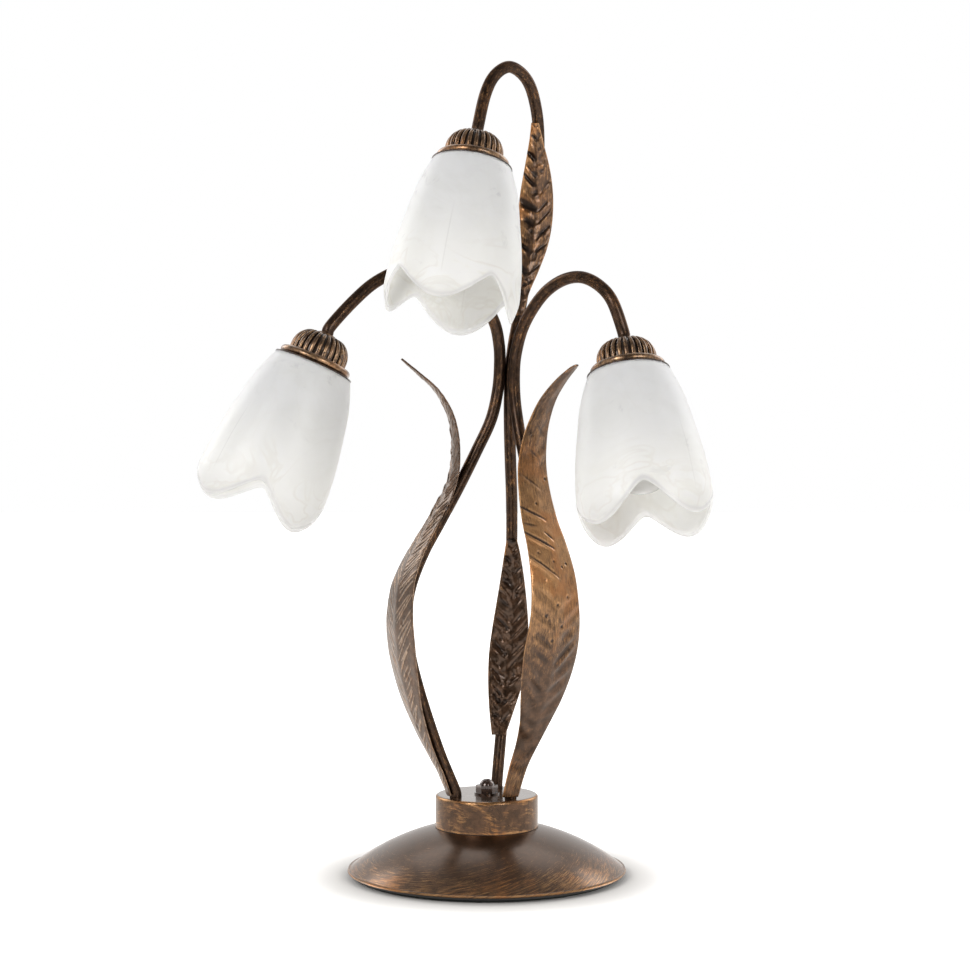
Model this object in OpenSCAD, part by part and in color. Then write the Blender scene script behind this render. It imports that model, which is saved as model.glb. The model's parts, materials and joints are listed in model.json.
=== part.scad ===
// Table lamp: a domed dish base, three bent tube stems and three tulip shades.
// Millimetres, +Z up, z = 0 is the table, the camera side of the lamp is -Y.

/* [Overall] */
// Height of the lamp over its top arch
lamp_h = 549; // [530:1:570]

/* [Base] */
// Outer diameter of the dished base
base_d = 190; // [180:1:210]
// Radius of the sphere the dish is pressed from
dome_r = 152; // [140:1:175]
// Sheet thickness of the dish
dome_t = 1.4; // [1:0.1:2]
// Height of the dish's rim above the table
rim_z = 3.5; // [3:0.1:4]
// Diameter of the felt pad
felt_d = 178; // [160:1:180]
// Thickness of the felt pad
felt_t = 2; // [1:0.1:2.5]
// Diameter of the cast iron weight inside the dish
weight_d = 134; // [110:1:138]
// Height of the cast iron weight
weight_h = 13; // [10:0.5:14]

/* [Drum] */
// Outer diameter of the drum on the dish
drum_d = 70; // [66:1:76]
// Height of the drum's top above the table
drum_top_z = 55; // [52:0.5:60]
// Radius rolled on the drum's top edge
drum_edge_r = 2; // [1:0.1:3]
// Wall thickness of the drum
drum_t = 2; // [1.5:0.1:2.5]

/* [Tubes] */
// Outside diameter of the stem tubes
tube_d = 8; // [7:0.1:8.4]
// Bore of the stem tubes, which carries the wires
tube_bore = 5.8; // [5:0.1:6]
// Steps the smooth tube path takes between two stations
tube_steps = 3; // [2:1:3]

/* [Leaves] */
// Sheet thickness of the hammered leaves
leaf_t = 1.2; // [1:0.1:1.6]
// Depth of the crease along a long leaf, as a share of its half width
long_crease = 0.14; // [0:0.01:0.2]
// Depth of the crease along a small leaf, as a share of its half width
small_crease = 0.2; // [0:0.01:0.25]

/* [Shade holders] */
// Diameter of the cap's lower flange
cap_flange_d = 48.5; // [47:0.5:50]
// Diameter of the fluted bell at its foot
bell_d = 35; // [34:0.5:37]
// Radius of the bell's shoulder
bell_shoulder_r = 13; // [11:0.1:15]
// How far the flutes' ribs stand out of the bell
rib_h = 0.9; // [0.5:0.1:1.2]
// Width of one rib
rib_w = 1.5; // [1.2:0.1:1.7]
// Number of ribs round the bell, an even number
rib_count = 26; // [20:2:28]
// Outside diameter of the lampholder's threaded skirt
holder_d = 28; // [27:0.1:28.5]

/* [Glass] */
// Diameter of the glass at its upper shoulder
glass_top_d = 53; // [51:0.5:54]
// Largest diameter of the glass
glass_max_d = 87; // [84:0.5:90]
// Length of the glass from shoulder to petal tips
glass_l = 103; // [98:0.5:104]
// Depth of the notches between two petals
notch_h = 20; // [16:0.5:24]
// Wall thickness of the glass
glass_t = 2.6; // [2:0.1:3.2]
// Clearance of the glass's hole round the holder
glass_hole_gap = 0.8; // [0.5:0.1:1.5]

/* [Bulbs] */
// Diameter of the bulb's round globe
bulb_d = 45; // [40:1:48]
// Length of the bulb over all
bulb_l = 78; // [74:1:80]
// Diameter of the bulb's screw base
bulb_base_d = 13.9; // [13.6:0.1:14]
// Radial clearance of the screw base in its socket
socket_gap = 0.05; // [0.02:0.01:0.1]

/* [Hidden] */

// Colours of the finishes, only for telling the pieces apart on screen.
bronze = "#5b3a22";
bronze_light = "#7a4e2b";
steel = "#b9bcc0";
iron = "#4a4a4c";
dark_plastic = "#1f1f22";
felt_green = "#26352b";
brass = "#c9a44c";
glass_white = "#f4f5f2";
terminal_cream = "#e8e4d8";

// Base: heights that follow from the sizes above.
dome_centre_z = rim_z - sqrt(dome_r * dome_r - base_d * base_d / 4);
land_r = drum_d / 2 + 0.6;
land_z = dome_centre_z + sqrt(dome_r * dome_r - land_r * land_r);
land_w = 4;
land_edge_gap = 0.4;
hem_w = 3;
hem_t = 1.6;
hem_inset = 0.8;
plate_t = 1.5;
plate_z = rim_z - plate_t;
plate_inset = 2;
plate_d = base_d - 2 * plate_inset;
pocket_r = 13;
pocket_h = 9.5;
pocket_roof_z = rim_z + pocket_h;
rod_d = 8;
rod_gap = 0.3;
rod_hole_d = rod_d + 2 * rod_gap;
thread_gap = 0.05;
rod_bottom_z = 3.4;
nut_h = 6.5;
nut_af = 13;
washer_od = 24;
washer_t = 1.6;
weight_gap = 0.2;
weight_floor_z = rim_z + weight_gap;
weight_top_z = weight_floor_z + weight_h;
weight_well_r = pocket_r + 2;
cable_hole_r = 5;
cable_hole_y = land_r - 24;
cable_slot_w = 12;
cable_slot_floor = 3;
cable_slot_y = weight_well_r + 6;
terminal_l = 24;
terminal_w = 15;
terminal_h = 9;
terminal_y = 22;

// Drum: the three tube feet stand round the nut, as x, y places.
foot_left = [-21, -13];
foot_right = [16, -16.5];
foot_centre = [7, 22.5];
foot_hole_gap = 0.3;
drum_floor_z = land_z;
drum_roof_t = 2.4;
under_roof_z = drum_top_z - drum_roof_t;
top_washer_d = 17;
top_washer_t = 1.2;
cap_nut_af = 13;
cap_nut_hex_h = 5;
cap_nut_dome_r = 5.2;
stem_nut_af = 12;
stem_nut_h = 4;
stem_nut_gap = 0.15;

// The cable leaves through a bush in the back of the dish.
bush_z = 13;
bush_bore_d = 7;
bush_hole_d = 11;
bush_neck_d = 10.6;
bush_head_d = 14;
bush_head_t = 2;
bush_tail_l = 19;
bush_head_gap = 0.5;
bush_low_z = bush_z - bush_head_d / 2 - dome_centre_z;
bush_out_y = sqrt(dome_r * dome_r - bush_low_z * bush_low_z) + bush_head_gap + bush_head_t;
bush_high_z = bush_z + bush_hole_d / 2 - dome_centre_z;
bush_hole_y = sqrt(pow(dome_r - dome_t, 2) - bush_high_z * bush_high_z) - 1;

// Stations below give x, y and the height over the drum's top, drawn for an arch of arch_h.
arch_h = 494;
rise = (lamp_h - drum_top_z) / arch_h;
function above(p) = [p[0], p[1], drum_top_z + p[2] * rise];

// Arms: centre of the glass shoulder, compass angle of the tilt, tilt from straight down.
left_seat = above([-113.3, -56.8, 289.5]);
left_turn = 196.5;
left_tilt = 24;
right_seat = above([90.3, -89.5, 284.1]);
right_turn = -72;
right_tilt = 19.3;
top_seat = above([-9.8, -49.6, 420.8]);
top_turn = 239;
top_tilt = 16.5;

// Turn of each glass on its own axis, which sets where its notches lie.
left_petals = 78;
right_petals = 68;
top_petals = 67;

// Heights along an arm's own axis, measured from the glass shoulder towards the tube.
brim_d = glass_top_d + 0.5;
brim_t = 0.7;
flange_bore_d = 41;
flange_edge_r = 2.6;
flange_t = 2 * flange_edge_r;
bell_z0 = brim_t + flange_t;
bell_top_z = 22.4;
bell_shoulder_x = bell_d / 2 - bell_shoulder_r;
bell_shoulder_z = bell_top_z - bell_shoulder_r;
rib_end_r = 8;
neck_d = 12;
neck_top_z = 23.2;
neck_gap = 0.3;
cap_t = 1.3;
crown_z = 17.5;
tube_end_z = 10;
nipple_d = 10;
nipple_gap = 0.1;
nipple_seat_gap = 0.2;
nipple_z0 = 8;
nipple_z1 = 22;
nipple_nut_af = 14;
nipple_nut_h = 3;
holder_neck_d = 15;
holder_body_d = 25;
holder_neck_z = 13.5;
holder_body_z = 4;
holder_bottom_z = -29;
holder_skirt_z = -1;
holder_skirt_l = 22;
shell_d = 17;
shell_gap = 0.05;
shell_eye_d = 4;
shell_top_z = -1.2;
shell_bottom_z = -28;
gasket_t = 1.2;
gasket_d = 40;
gasket_gap = 0.4;
glass_top_t = 3.6;
ring_d = 38;
ring_h = 5;
ring_z = -glass_top_t - gasket_t;
bulb_top_z = -2;
globe_z = bulb_top_z - bulb_l + bulb_d / 2;
bulb_wall = 0.9;
bulb_neck_d = 12.4;
bulb_neck_z = -29;
bulb_neck_top_z = -12;
bulb_neck_gap = 0.05;
bulb_neck_play = 0.6;
bulb_cone_r = bulb_d * 0.43;
base_bottom_z = -27;
base_top_z = -4.4;
contact_d = 7;

// Stations of the tube centrelines, foot to shade: x, y, height over the drum's top.
left_path = [[-21, -13, -11], [-21, -13, -1], [-21.5, -13.1, 4], [-25, -14, 13], [-31.5, -15, 29],
    [-39, -16.5, 51], [-46, -18, 74], [-51.5, -19.5, 97], [-54, -20, 120], [-51.4, -19.4, 142],
    [-42.8, -17.6, 165], [-31, -14, 187], [-18.2, -9.5, 211], [-6.8, -5.2, 234], [2.9, -1.8, 255],
    [7.5, 0, 275], [8.8, 0.3, 292], [8.3, -0.5, 306], [5, -3, 321], [-4, -7, 336.5],
    [-18.5, -13.5, 351.5], [-38, -22, 357.5], [-56, -30, 354.5], [-73, -37.5, 346],
    [-87, -44, 333.5]];
right_path = [[16, -16.5, -11], [16, -16.5, -1], [16.2, -16.8, 4], [17.2, -18.2, 11],
    [20.5, -21, 25], [25.3, -25.7, 41], [30, -30.5, 56.5], [34, -35.2, 73], [37, -39, 89],
    [39.5, -41.5, 105], [41, -42.7, 120], [41.2, -42.5, 135], [39.7, -40.7, 151.5],
    [36, -36.5, 173], [31, -29, 199], [26, -18, 226], [21.8, -9, 248], [19, -4.8, 269],
    [18.6, -4.3, 288], [20, -5.5, 301], [24, -10, 316], [31, -18, 329.5], [40, -29, 340.5],
    [51, -43, 347], [62, -56.8, 347.6], [72.3, -69, 341.7], [80.5, -78.3, 331]];
centre_path = [[7, 22.5, -11], [7, 22.5, -1], [7.1, 22.8, 5], [8.3, 25.5, 19], [10.6, 31.5, 45],
    [12.5, 37, 75], [14, 39, 105], [16, 36.5, 137], [17.3, 30.5, 169], [17.2, 22, 199],
    [16.3, 13.5, 225], [15.6, 7, 249], [15.5, 4.2, 270], [16.2, 3.7, 289], [18.2, 5, 306],
    [22, 9, 326], [26, 15.5, 349], [30.5, 21, 375], [33.5, 23, 401], [35.2, 20.5, 425],
    [35.5, 15, 448], [33.7, 8, 465.3], [29.3, -0.5, 480], [22.5, -9.5, 488], [14, -19.5, 490],
    [5, -29, 482.5], [-1, -36, 469.3]];

// Steps a long leaf's smooth outline takes between two stations.
leaf_steps = 2;

// Leaf stations: x, y, height over the drum's top, half width, compass angle the outer side faces.
left_leaf = [[-26.6, -14.9, 1.2, 5, 198], [-32.1, -16.2, 15.5, 6.6, 199], [-37.8, -17.1, 27, 8, 201],
    [-44.2, -18.2, 40.5, 10.6, 204], [-51.2, -19.6, 58.5, 14.8, 205.5],
    [-55.2, -20.6, 72, 18.5, 205.5], [-58.8, -21.8, 88.5, 22, 205.5],
    [-61, -22.4, 104, 23.5, 205.5], [-61.8, -22.6, 120.5, 22.5, 205.5],
    [-60.6, -22.2, 136.5, 20.8, 205], [-58, -21.4, 149, 19.2, 203.5], [-52.1, -20.3, 163.5, 17.6, 201],
    [-45.2, -18.7, 176, 16.3, 199], [-36.5, -17.2, 191.5, 15, 197],
    [-28.8, -15.5, 205.5, 13.5, 197], [-24.2, -14.4, 218.5, 11.6, 197],
    [-22.7, -13.8, 233, 10, 197], [-23.4, -13.9, 246.5, 8.8, 197],
    [-25.9, -14.4, 257.5, 7.8, 197], [-30.8, -15.3, 268, 6.7, 197], [-37.6, -16.9, 277, 5.4, 197],
    [-47, -18.4, 285.5, 3.7, 197], [-57.5, -20, 295, 1, 197]];
right_leaf = [[16, -22.4, 1.2, 5.5, -80], [21.5, -26, 21.5, 6.5, -73], [28, -29.6, 38, 8.7, -66],
    [33.8, -34.3, 54, 12.5, -60], [38.3, -37.7, 69, 17.6, -55], [42.4, -41.4, 86, 22.1, -51],
    [45.1, -43.9, 101.5, 23.7, -50], [47.1, -45.3, 117.5, 22.6, -50], [47.5, -45.2, 133, 21, -50],
    [45.9, -43.5, 152.5, 19.5, -50], [41.8, -41, 172, 17.4, -50], [36.6, -38.7, 190, 15.5, -50],
    [33.1, -36.4, 208.5, 13.7, -50], [31.7, -34.9, 225, 12.4, -50], [33.2, -34.9, 241.5, 10.7, -50],
    [36.3, -35.8, 254.5, 9, -50], [41.7, -38.4, 268, 7.2, -50], [49.4, -43, 279.5, 5.2, -50],
    [56.6, -49, 287.5, 3, -50], [59.5, -52, 290, 1, -50]];
centre_leaf = [[8.2, 23.9, 37, 4.8, -92], [10.2, 27.4, 53, 8.5, -92], [12.8, 30.8, 72, 12, -92],
    [14.6, 32.6, 91, 13.3, -92], [16.2, 32.9, 108, 12.8, -92], [17.2, 31.6, 126, 10.8, -92],
    [17.7, 29.1, 145, 8.2, -92], [17.6, 25.7, 163, 5.4, -92], [17.2, 23.7, 172, 3.6, -92]];
top_leaf = [[22.5, 3.4, 326, 2.2, -84], [24.6, 7.7, 342, 4.7, -84], [28.2, 12, 358, 8, -84],
    [31.6, 15.4, 375, 10.8, -84], [33.5, 17.2, 392, 12, -84], [34.5, 16.6, 410, 11.3, -84],
    [34.7, 14, 427, 8.6, -84], [33.8, 9.7, 444, 4.8, -84], [32.9, 5.4, 456, 2.6, -84]];

// Straight-line helpers for paths.
function unit(v) = v / norm(v);
// Direction from the glass shoulder up to the tube for an arm's turn and tilt.
function arm_up(turn, tilt) = [-sin(tilt) * cos(turn), -sin(tilt) * sin(turn), cos(tilt)];
// One point of the smooth curve through the stations a, b, c, d, between b and c.
function curve_point(a, b, c, d, t) = 0.5 * (2 * b + (c - a) * t
    + (2 * a - 5 * b + 4 * c - d) * t * t + (3 * b - a - 3 * c + d) * t * t * t);
// The smooth curve through all stations, with n steps between two of them.
function smooth(p, n) = let (last = len(p) - 1) concat(
    [for (i = [0 : last - 1], k = [0 : n - 1]) curve_point(p[max(i - 1, 0)], p[i], p[i + 1],
        p[min(i + 2, last)], k / n)], [p[last]]);
// Direction of travel at point i of a curve.
function heading(p, i) = unit(p[min(i + 1, len(p) - 1)] - p[max(i - 1, 0)]);

// Hollow tube along a curve; side is a direction the curve never runs along.
module tube_along(p, side, od, bore, n = 10) {
    rings = len(p);
    ring_points = [for (i = [0 : rings - 1], r = [od / 2, bore / 2], k = [0 : n - 1])
        let (h = heading(p, i), u = unit(cross(side, h)), v = cross(h, u))
        p[i] + r * (cos(360 * k / n) * u + sin(360 * k / n) * v)];
    wall = [for (i = [0 : rings - 2], k = [0 : n - 1])
        let (a = i * 2 * n + k, b = i * 2 * n + (k + 1) % n) [a, a + 2 * n, b + 2 * n, b]];
    hole = [for (i = [0 : rings - 2], k = [0 : n - 1])
        let (a = (i * 2 + 1) * n + k, b = (i * 2 + 1) * n + (k + 1) % n) [b, b + 2 * n, a + 2 * n, a]];
    foot = [for (k = [0 : n - 1]) [k, (k + 1) % n, n + (k + 1) % n, n + k]];
    q = (rings - 1) * 2 * n;
    head = [for (k = [0 : n - 1]) [q + n + k, q + n + (k + 1) % n, q + (k + 1) % n, q + k]];
    polyhedron(points = ring_points, faces = concat(wall, hole, foot, head), convexity = 10);
}

// Creased sheet leaf along its stations, with its width always level.
module leaf_along(stations, crease, steps, cols = 6) {
    s = smooth(stations, steps);
    rows = len(s);
    line = [for (q = s) above(q)];
    m = cols + 1;
    pts = [for (layer = [0, 1], i = [0 : rows - 1], j = [0 : cols])
        let (h = heading(line, i), across = [-sin(s[i][4]), cos(s[i][4]), 0],
            out = unit(cross(across, h)), w = 2 * j / cols - 1)
        line[i] + across * (w * s[i][3])
            - out * (crease * s[i][3] * abs(w) + layer * leaf_t)];
    outer_faces = [for (i = [0 : rows - 2], j = [0 : cols - 1])
        let (a = i * m + j) [a, a + m, a + m + 1, a + 1]];
    back = rows * m;
    inner_faces = [for (i = [0 : rows - 2], j = [0 : cols - 1])
        let (a = back + i * m + j) [a + 1, a + m + 1, a + m, a]];
    sides = [for (i = [0 : rows - 2], e = [0, 1])
        let (a = i * m + e * cols) e == 0 ? [a, a + back, a + back + m, a + m]
            : [a + m, a + back + m, a + back, a]];
    top = (rows - 1) * m;
    ends = [for (j = [0 : cols - 1], e = [0, 1])
        let (a = e * top + j) e == 0 ? [a, a + 1, a + back + 1, a + back]
            : [a + back, a + back + 1, a + 1, a]];
    polyhedron(points = pts, faces = concat(outer_faces, inner_faces, sides, ends), convexity = 6);
}

// Places a piece drawn on an arm's own axis.
module on_arm(seat, turn, tilt) {
    translate(seat) rotate([0, -tilt, turn]) children();
}

module on_every_arm() {
    on_arm(left_seat, left_turn, left_tilt) children();
    on_arm(right_seat, right_turn, right_tilt) children();
    on_arm(top_seat, top_turn, top_tilt) children();
}

module hex_nut(af, h, hole_d) {
    difference() {
        cylinder(d = af / cos(30), h = h, $fn = 6);
        translate([0, 0, -1]) cylinder(d = hole_d, h = h + 2, $fn = 48);
    }
}

module washer(od, id, t) {
    difference() {
        cylinder(d = od, h = t, $fn = 64);
        translate([0, 0, -1]) cylinder(d = id, h = t + 2, $fn = 48);
    }
}

module felt_pad() {
    color(felt_green) cylinder(d = felt_d, h = felt_t, $fn = 128);
}

// Bottom plate with a raised pocket in its middle for the rod's lower nut.
module bottom_plate() {
    color(steel) difference() {
        union() {
            translate([0, 0, plate_z]) cylinder(d = plate_d, h = plate_t, $fn = 128);
            translate([0, 0, plate_z])
                cylinder(r = pocket_r + plate_t, h = pocket_roof_z - plate_z, $fn = 64);
        }
        translate([0, 0, plate_z - 1])
            cylinder(r = pocket_r, h = pocket_roof_z - plate_t - plate_z + 1, $fn = 64);
        cylinder(d = rod_hole_d, h = drum_top_z, $fn = 48);
    }
}

module counterweight() {
    color(iron) difference() {
        translate([0, 0, weight_floor_z]) cylinder(d = weight_d, h = weight_h, $fn = 128);
        translate([0, 0, weight_floor_z - 1])
            cylinder(r = weight_well_r, h = pocket_roof_z - weight_floor_z + 1, $fn = 64);
        cylinder(d = rod_hole_d, h = drum_top_z, $fn = 48);
        translate([-cable_slot_w / 2, cable_slot_y, weight_floor_z + cable_slot_floor])
            cube([cable_slot_w, weight_d, weight_h]);
    }
}

// Pressed dish: a ball-shaped shell with a flat land for the drum and a hem round the rim.
module base_dome() {
    color(bronze) difference() {
        rotate_extrude($fn = 160) {
            difference() {
                intersection() {
                    translate([0, dome_centre_z]) circle(r = dome_r, $fn = 360);
                    translate([0, rim_z]) square([base_d / 2, land_z - rim_z]);
                }
                translate([0, dome_centre_z]) circle(r = dome_r - dome_t, $fn = 360);
                translate([-1, rim_z - 1]) square([land_r - 1, land_z - rim_z - dome_t + 1]);
            }
            translate([land_r - land_w, land_z - dome_t]) square([land_w - land_edge_gap, dome_t]);
            translate([base_d / 2 - hem_w - hem_inset, rim_z]) square([hem_w, hem_t]);
        }
        cylinder(d = rod_hole_d, h = drum_top_z, $fn = 48);
        translate([0, cable_hole_y, 0]) cylinder(r = cable_hole_r, h = drum_top_z, $fn = 48);
        translate([0, bush_hole_y, bush_z]) rotate([-90, 0, 0])
            cylinder(d = bush_hole_d, h = base_d / 2, $fn = 48);
    }
}

// Drum: a cup turned upside down, its top pierced for the rod and the three tubes.
module base_drum() {
    color(bronze_light) difference() {
        rotate_extrude($fn = 128) difference() {
            union() {
                translate([0, drum_floor_z])
                    square([drum_d / 2, drum_top_z - drum_edge_r - drum_floor_z]);
                translate([0, drum_floor_z])
                    square([drum_d / 2 - drum_edge_r, drum_top_z - drum_floor_z]);
                translate([drum_d / 2 - drum_edge_r, drum_top_z - drum_edge_r])
                    circle(r = drum_edge_r, $fn = 48);
            }
            translate([-1, drum_floor_z - 1])
                square([drum_d / 2 - drum_t + 1, under_roof_z - drum_floor_z + 1]);
        }
        translate([0, 0, drum_floor_z]) cylinder(d = rod_hole_d, h = drum_top_z, $fn = 48);
        for (f = [foot_left, foot_right, foot_centre])
            translate([f[0], f[1], drum_floor_z])
                cylinder(d = tube_d + 2 * foot_hole_gap, h = drum_top_z, $fn = 48);
    }
}

module tie_rod() {
    color(steel) translate([0, 0, rod_bottom_z])
        cylinder(d = rod_d, h = drum_top_z + top_washer_t + cap_nut_hex_h - rod_bottom_z, $fn = 48);
}

// Lower nut in the plate's pocket and jam nut on top of the weight.
module rod_nuts() {
    color(steel) {
        translate([0, 0, pocket_roof_z - plate_t - washer_t - nut_h])
            hex_nut(nut_af, nut_h, rod_d + 2 * thread_gap);
        translate([0, 0, weight_top_z + washer_t]) hex_nut(nut_af, nut_h, rod_d + 2 * thread_gap);
    }
}

module rod_washers() {
    color(steel) {
        translate([0, 0, pocket_roof_z - plate_t - washer_t]) washer(washer_od, rod_hole_d, washer_t);
        translate([0, 0, weight_top_z]) washer(washer_od, rod_hole_d, washer_t);
    }
}

module cap_nut() {
    color(bronze) translate([0, 0, drum_top_z + top_washer_t]) difference() {
        union() {
            cylinder(d = cap_nut_af / cos(30), h = cap_nut_hex_h, $fn = 6);
            translate([0, 0, cap_nut_hex_h - 1]) intersection() {
                sphere(r = cap_nut_dome_r, $fn = 64);
                cylinder(r = cap_nut_af, h = cap_nut_dome_r + 1, $fn = 48);
            }
        }
        translate([0, 0, -1]) cylinder(d = rod_d + 2 * thread_gap, h = cap_nut_hex_h + 1, $fn = 48);
    }
}

module cap_nut_washer() {
    color(bronze) translate([0, 0, drum_top_z]) washer(top_washer_d, rod_hole_d, top_washer_t);
}

// Nuts that hold the three tubes under the drum's top.
module stem_nuts() {
    color(steel) for (f = [foot_left, foot_right, foot_centre])
        translate([f[0], f[1], under_roof_z - stem_nut_h])
            hex_nut(stem_nut_af, stem_nut_h, tube_d + 2 * stem_nut_gap);
}

// Cable bush in the back of the dish, with a level bore.
module cable_bush() {
    color(dark_plastic) translate([0, bush_out_y, bush_z]) rotate([90, 0, 0]) difference() {
        union() {
            cylinder(d = bush_head_d, h = bush_head_t, $fn = 64);
            cylinder(d = bush_neck_d, h = bush_head_t + bush_tail_l, $fn = 64);
        }
        translate([0, 0, -1]) cylinder(d = bush_bore_d, h = bush_head_t + bush_tail_l + 2, $fn = 64);
    }
}

// Three-way terminal block glued on the weight beside the rod.
module terminal_block() {
    pitch = terminal_l / 3;
    wire_hole_d = 3.2;
    screw_hole_d = 3.4;
    color(terminal_cream) translate([-terminal_l / 2, terminal_y, weight_top_z]) difference() {
        cube([terminal_l, terminal_w, terminal_h]);
        for (i = [0 : 2]) {
            translate([pitch * (i + 0.5), -1, terminal_h / 2]) rotate([-90, 0, 0])
                cylinder(d = wire_hole_d, h = terminal_w + 2, $fn = 24);
            translate([pitch * (i + 0.5), terminal_w / 2, terminal_h / 2])
                cylinder(d = screw_hole_d, h = terminal_h, $fn = 24);
        }
    }
}

// Tube path with its last stations on the arm's axis, from above the cap's neck to the tube's end.
function stem_line(path, seat, turn, tilt) = smooth(concat([for (p = path) above(p)],
    [for (h = [neck_top_z + 6, neck_top_z - 1, tube_end_z])
        seat + arm_up(turn, tilt) * h]), tube_steps);

module left_stem() {
    color(bronze) tube_along(stem_line(left_path, left_seat, left_turn, left_tilt),
        [-0.4, 0.9, 0], tube_d, tube_bore);
}

module right_stem() {
    color(bronze) tube_along(stem_line(right_path, right_seat, right_turn, right_tilt),
        [0.77, 0.64, 0], tube_d, tube_bore);
}

module centre_stem() {
    color(bronze) tube_along(stem_line(centre_path, top_seat, top_turn, top_tilt),
        [0.8, -0.6, 0], tube_d, tube_bore);
}

// Weld beads that join the three tubes where they meet at the waist.
module waist_weld() {
    bead_r = 0.75;
    bead_l = 9;
    beads = [[11.3, 4.7, 285], [20.3, 0.6, 285]];
    color(bronze) for (p = beads) translate(above(p)) cylinder(r = bead_r, h = bead_l, $fn = 32);
}

module left_long_leaf() {
    color(bronze_light) leaf_along(left_leaf, long_crease, leaf_steps);
}

module right_long_leaf() {
    color(bronze_light) leaf_along(right_leaf, long_crease, leaf_steps);
}

module centre_small_leaf() {
    color(bronze) leaf_along(centre_leaf, small_crease, leaf_steps + 1);
}

module top_small_leaf() {
    color(bronze) leaf_along(top_leaf, small_crease, leaf_steps + 1);
}

// Half outline of the bell: straight sides and a quarter round shoulder beside a flat top.
module bell_outline(inset = 0) {
    low_z = bell_z0 - 1;
    intersection() {
        union() {
            translate([bell_shoulder_x, bell_shoulder_z])
                circle(r = bell_shoulder_r - inset, $fn = 96);
            translate([0, low_z]) square([bell_d / 2 - inset, bell_shoulder_z - low_z]);
            translate([0, low_z]) square([bell_shoulder_x, bell_top_z - inset - low_z]);
        }
        translate([0, low_z]) square([bell_d, bell_d]);
    }
}

// Side view of one rib: it follows the bell from the flange to beside the neck.
module bell_rib() {
    intersection() {
        bell_outline(-rib_h);
        translate([rib_end_r, bell_z0 - 1]) square([bell_d, bell_d]);
    }
}

// Fluted cap: thin brim, rounded flange, ribbed bell and a short neck round the tube.
module fluted_cap() {
    difference() {
        union() {
            cylinder(d = brim_d, h = brim_t, $fn = 96);
            translate([0, 0, brim_t]) rotate_extrude($fn = 96) {
                square([cap_flange_d / 2 - flange_edge_r, flange_t]);
                translate([cap_flange_d / 2 - flange_edge_r, flange_edge_r])
                    circle(r = flange_edge_r, $fn = 32);
            }
            rotate_extrude($fn = 96) bell_outline();
            for (i = [0 : rib_count - 1]) rotate([90, 0, (i + 0.5) * 360 / rib_count])
                translate([0, 0, -rib_w / 2]) linear_extrude(rib_w) bell_rib();
            cylinder(d = neck_d, h = neck_top_z, $fn = 64);
        }
        rotate_extrude($fn = 96) difference() {
            union() {
                translate([0, -1]) square([flange_bore_d / 2, flange_t]);
                translate([0, -1]) square([bell_d / 2 - cap_t, bell_z0 + 1]);
                bell_outline(cap_t);
            }
            translate([0, crown_z]) square([bell_d, bell_d]);
        }
        cylinder(d = nipple_d + 2 * nipple_seat_gap, h = nipple_z1 + nipple_seat_gap, $fn = 48);
        cylinder(d = tube_d + 2 * neck_gap, h = 2 * neck_top_z, $fn = 48);
    }
}

module left_cap() {
    color(bronze) on_arm(left_seat, left_turn, left_tilt) fluted_cap();
}

module right_cap() {
    color(bronze) on_arm(right_seat, right_turn, right_tilt) fluted_cap();
}

module top_cap() {
    color(bronze) on_arm(top_seat, top_turn, top_tilt) fluted_cap();
}

// Threaded sleeves brazed on the tubes' ends.
module stem_nipples() {
    color(brass) on_every_arm() translate([0, 0, nipple_z0]) difference() {
        cylinder(d = nipple_d, h = nipple_z1 - nipple_z0, $fn = 48);
        translate([0, 0, -1]) cylinder(d = tube_d + 2 * nipple_gap, h = nipple_z1, $fn = 48);
    }
}

module nipple_nuts() {
    color(brass) on_every_arm() translate([0, 0, crown_z - nipple_nut_h])
        hex_nut(nipple_nut_af, nipple_nut_h, nipple_d + 2 * thread_gap);
}

// Lampholder with a threaded neck above and a threaded skirt below.
module lampholder() {
    difference() {
        union() {
            cylinder(d = holder_neck_d, h = holder_neck_z, $fn = 64);
            translate([0, 0, holder_bottom_z])
                cylinder(d = holder_body_d, h = holder_body_z - holder_bottom_z, $fn = 64);
            translate([0, 0, holder_skirt_z - holder_skirt_l])
                cylinder(d = holder_d, h = holder_skirt_l, $fn = 96);
        }
        translate([0, 0, holder_bottom_z - 1])
            cylinder(d = shell_d, h = shell_top_z - holder_bottom_z + 1, $fn = 64);
        translate([0, 0, nipple_z0])
            cylinder(d = nipple_d + 2 * thread_gap, h = holder_neck_z, $fn = 48);
        cylinder(d = tube_bore, h = holder_neck_z, center = true, $fn = 32);
    }
}

module left_holder() {
    color(dark_plastic) on_arm(left_seat, left_turn, left_tilt) lampholder();
}

module right_holder() {
    color(dark_plastic) on_arm(right_seat, right_turn, right_tilt) lampholder();
}

module top_holder() {
    color(dark_plastic) on_arm(top_seat, top_turn, top_tilt) lampholder();
}

// Brass screw shells the bulbs turn in.
module socket_shells() {
    color(brass) on_every_arm() difference() {
        translate([0, 0, shell_bottom_z])
            cylinder(d = shell_d - 2 * shell_gap, h = shell_top_z - shell_bottom_z, $fn = 64);
        translate([0, 0, shell_bottom_z - 1])
            cylinder(d = bulb_base_d + 2 * socket_gap, h = bulb_top_z - shell_bottom_z + 1, $fn = 64);
        cylinder(d = shell_eye_d, h = 10, center = true, $fn = 32);
    }
}

module glass_gaskets() {
    color(dark_plastic) on_every_arm() translate([0, 0, -glass_top_t - gasket_t])
        washer(gasket_d, holder_d + 2 * gasket_gap, gasket_t);
}

// Threaded rings that press the glasses up against the caps.
module shade_rings() {
    color(dark_plastic) on_every_arm() translate([0, 0, ring_z - ring_h])
        washer(ring_d, holder_d + 2 * thread_gap, ring_h);
}

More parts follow.
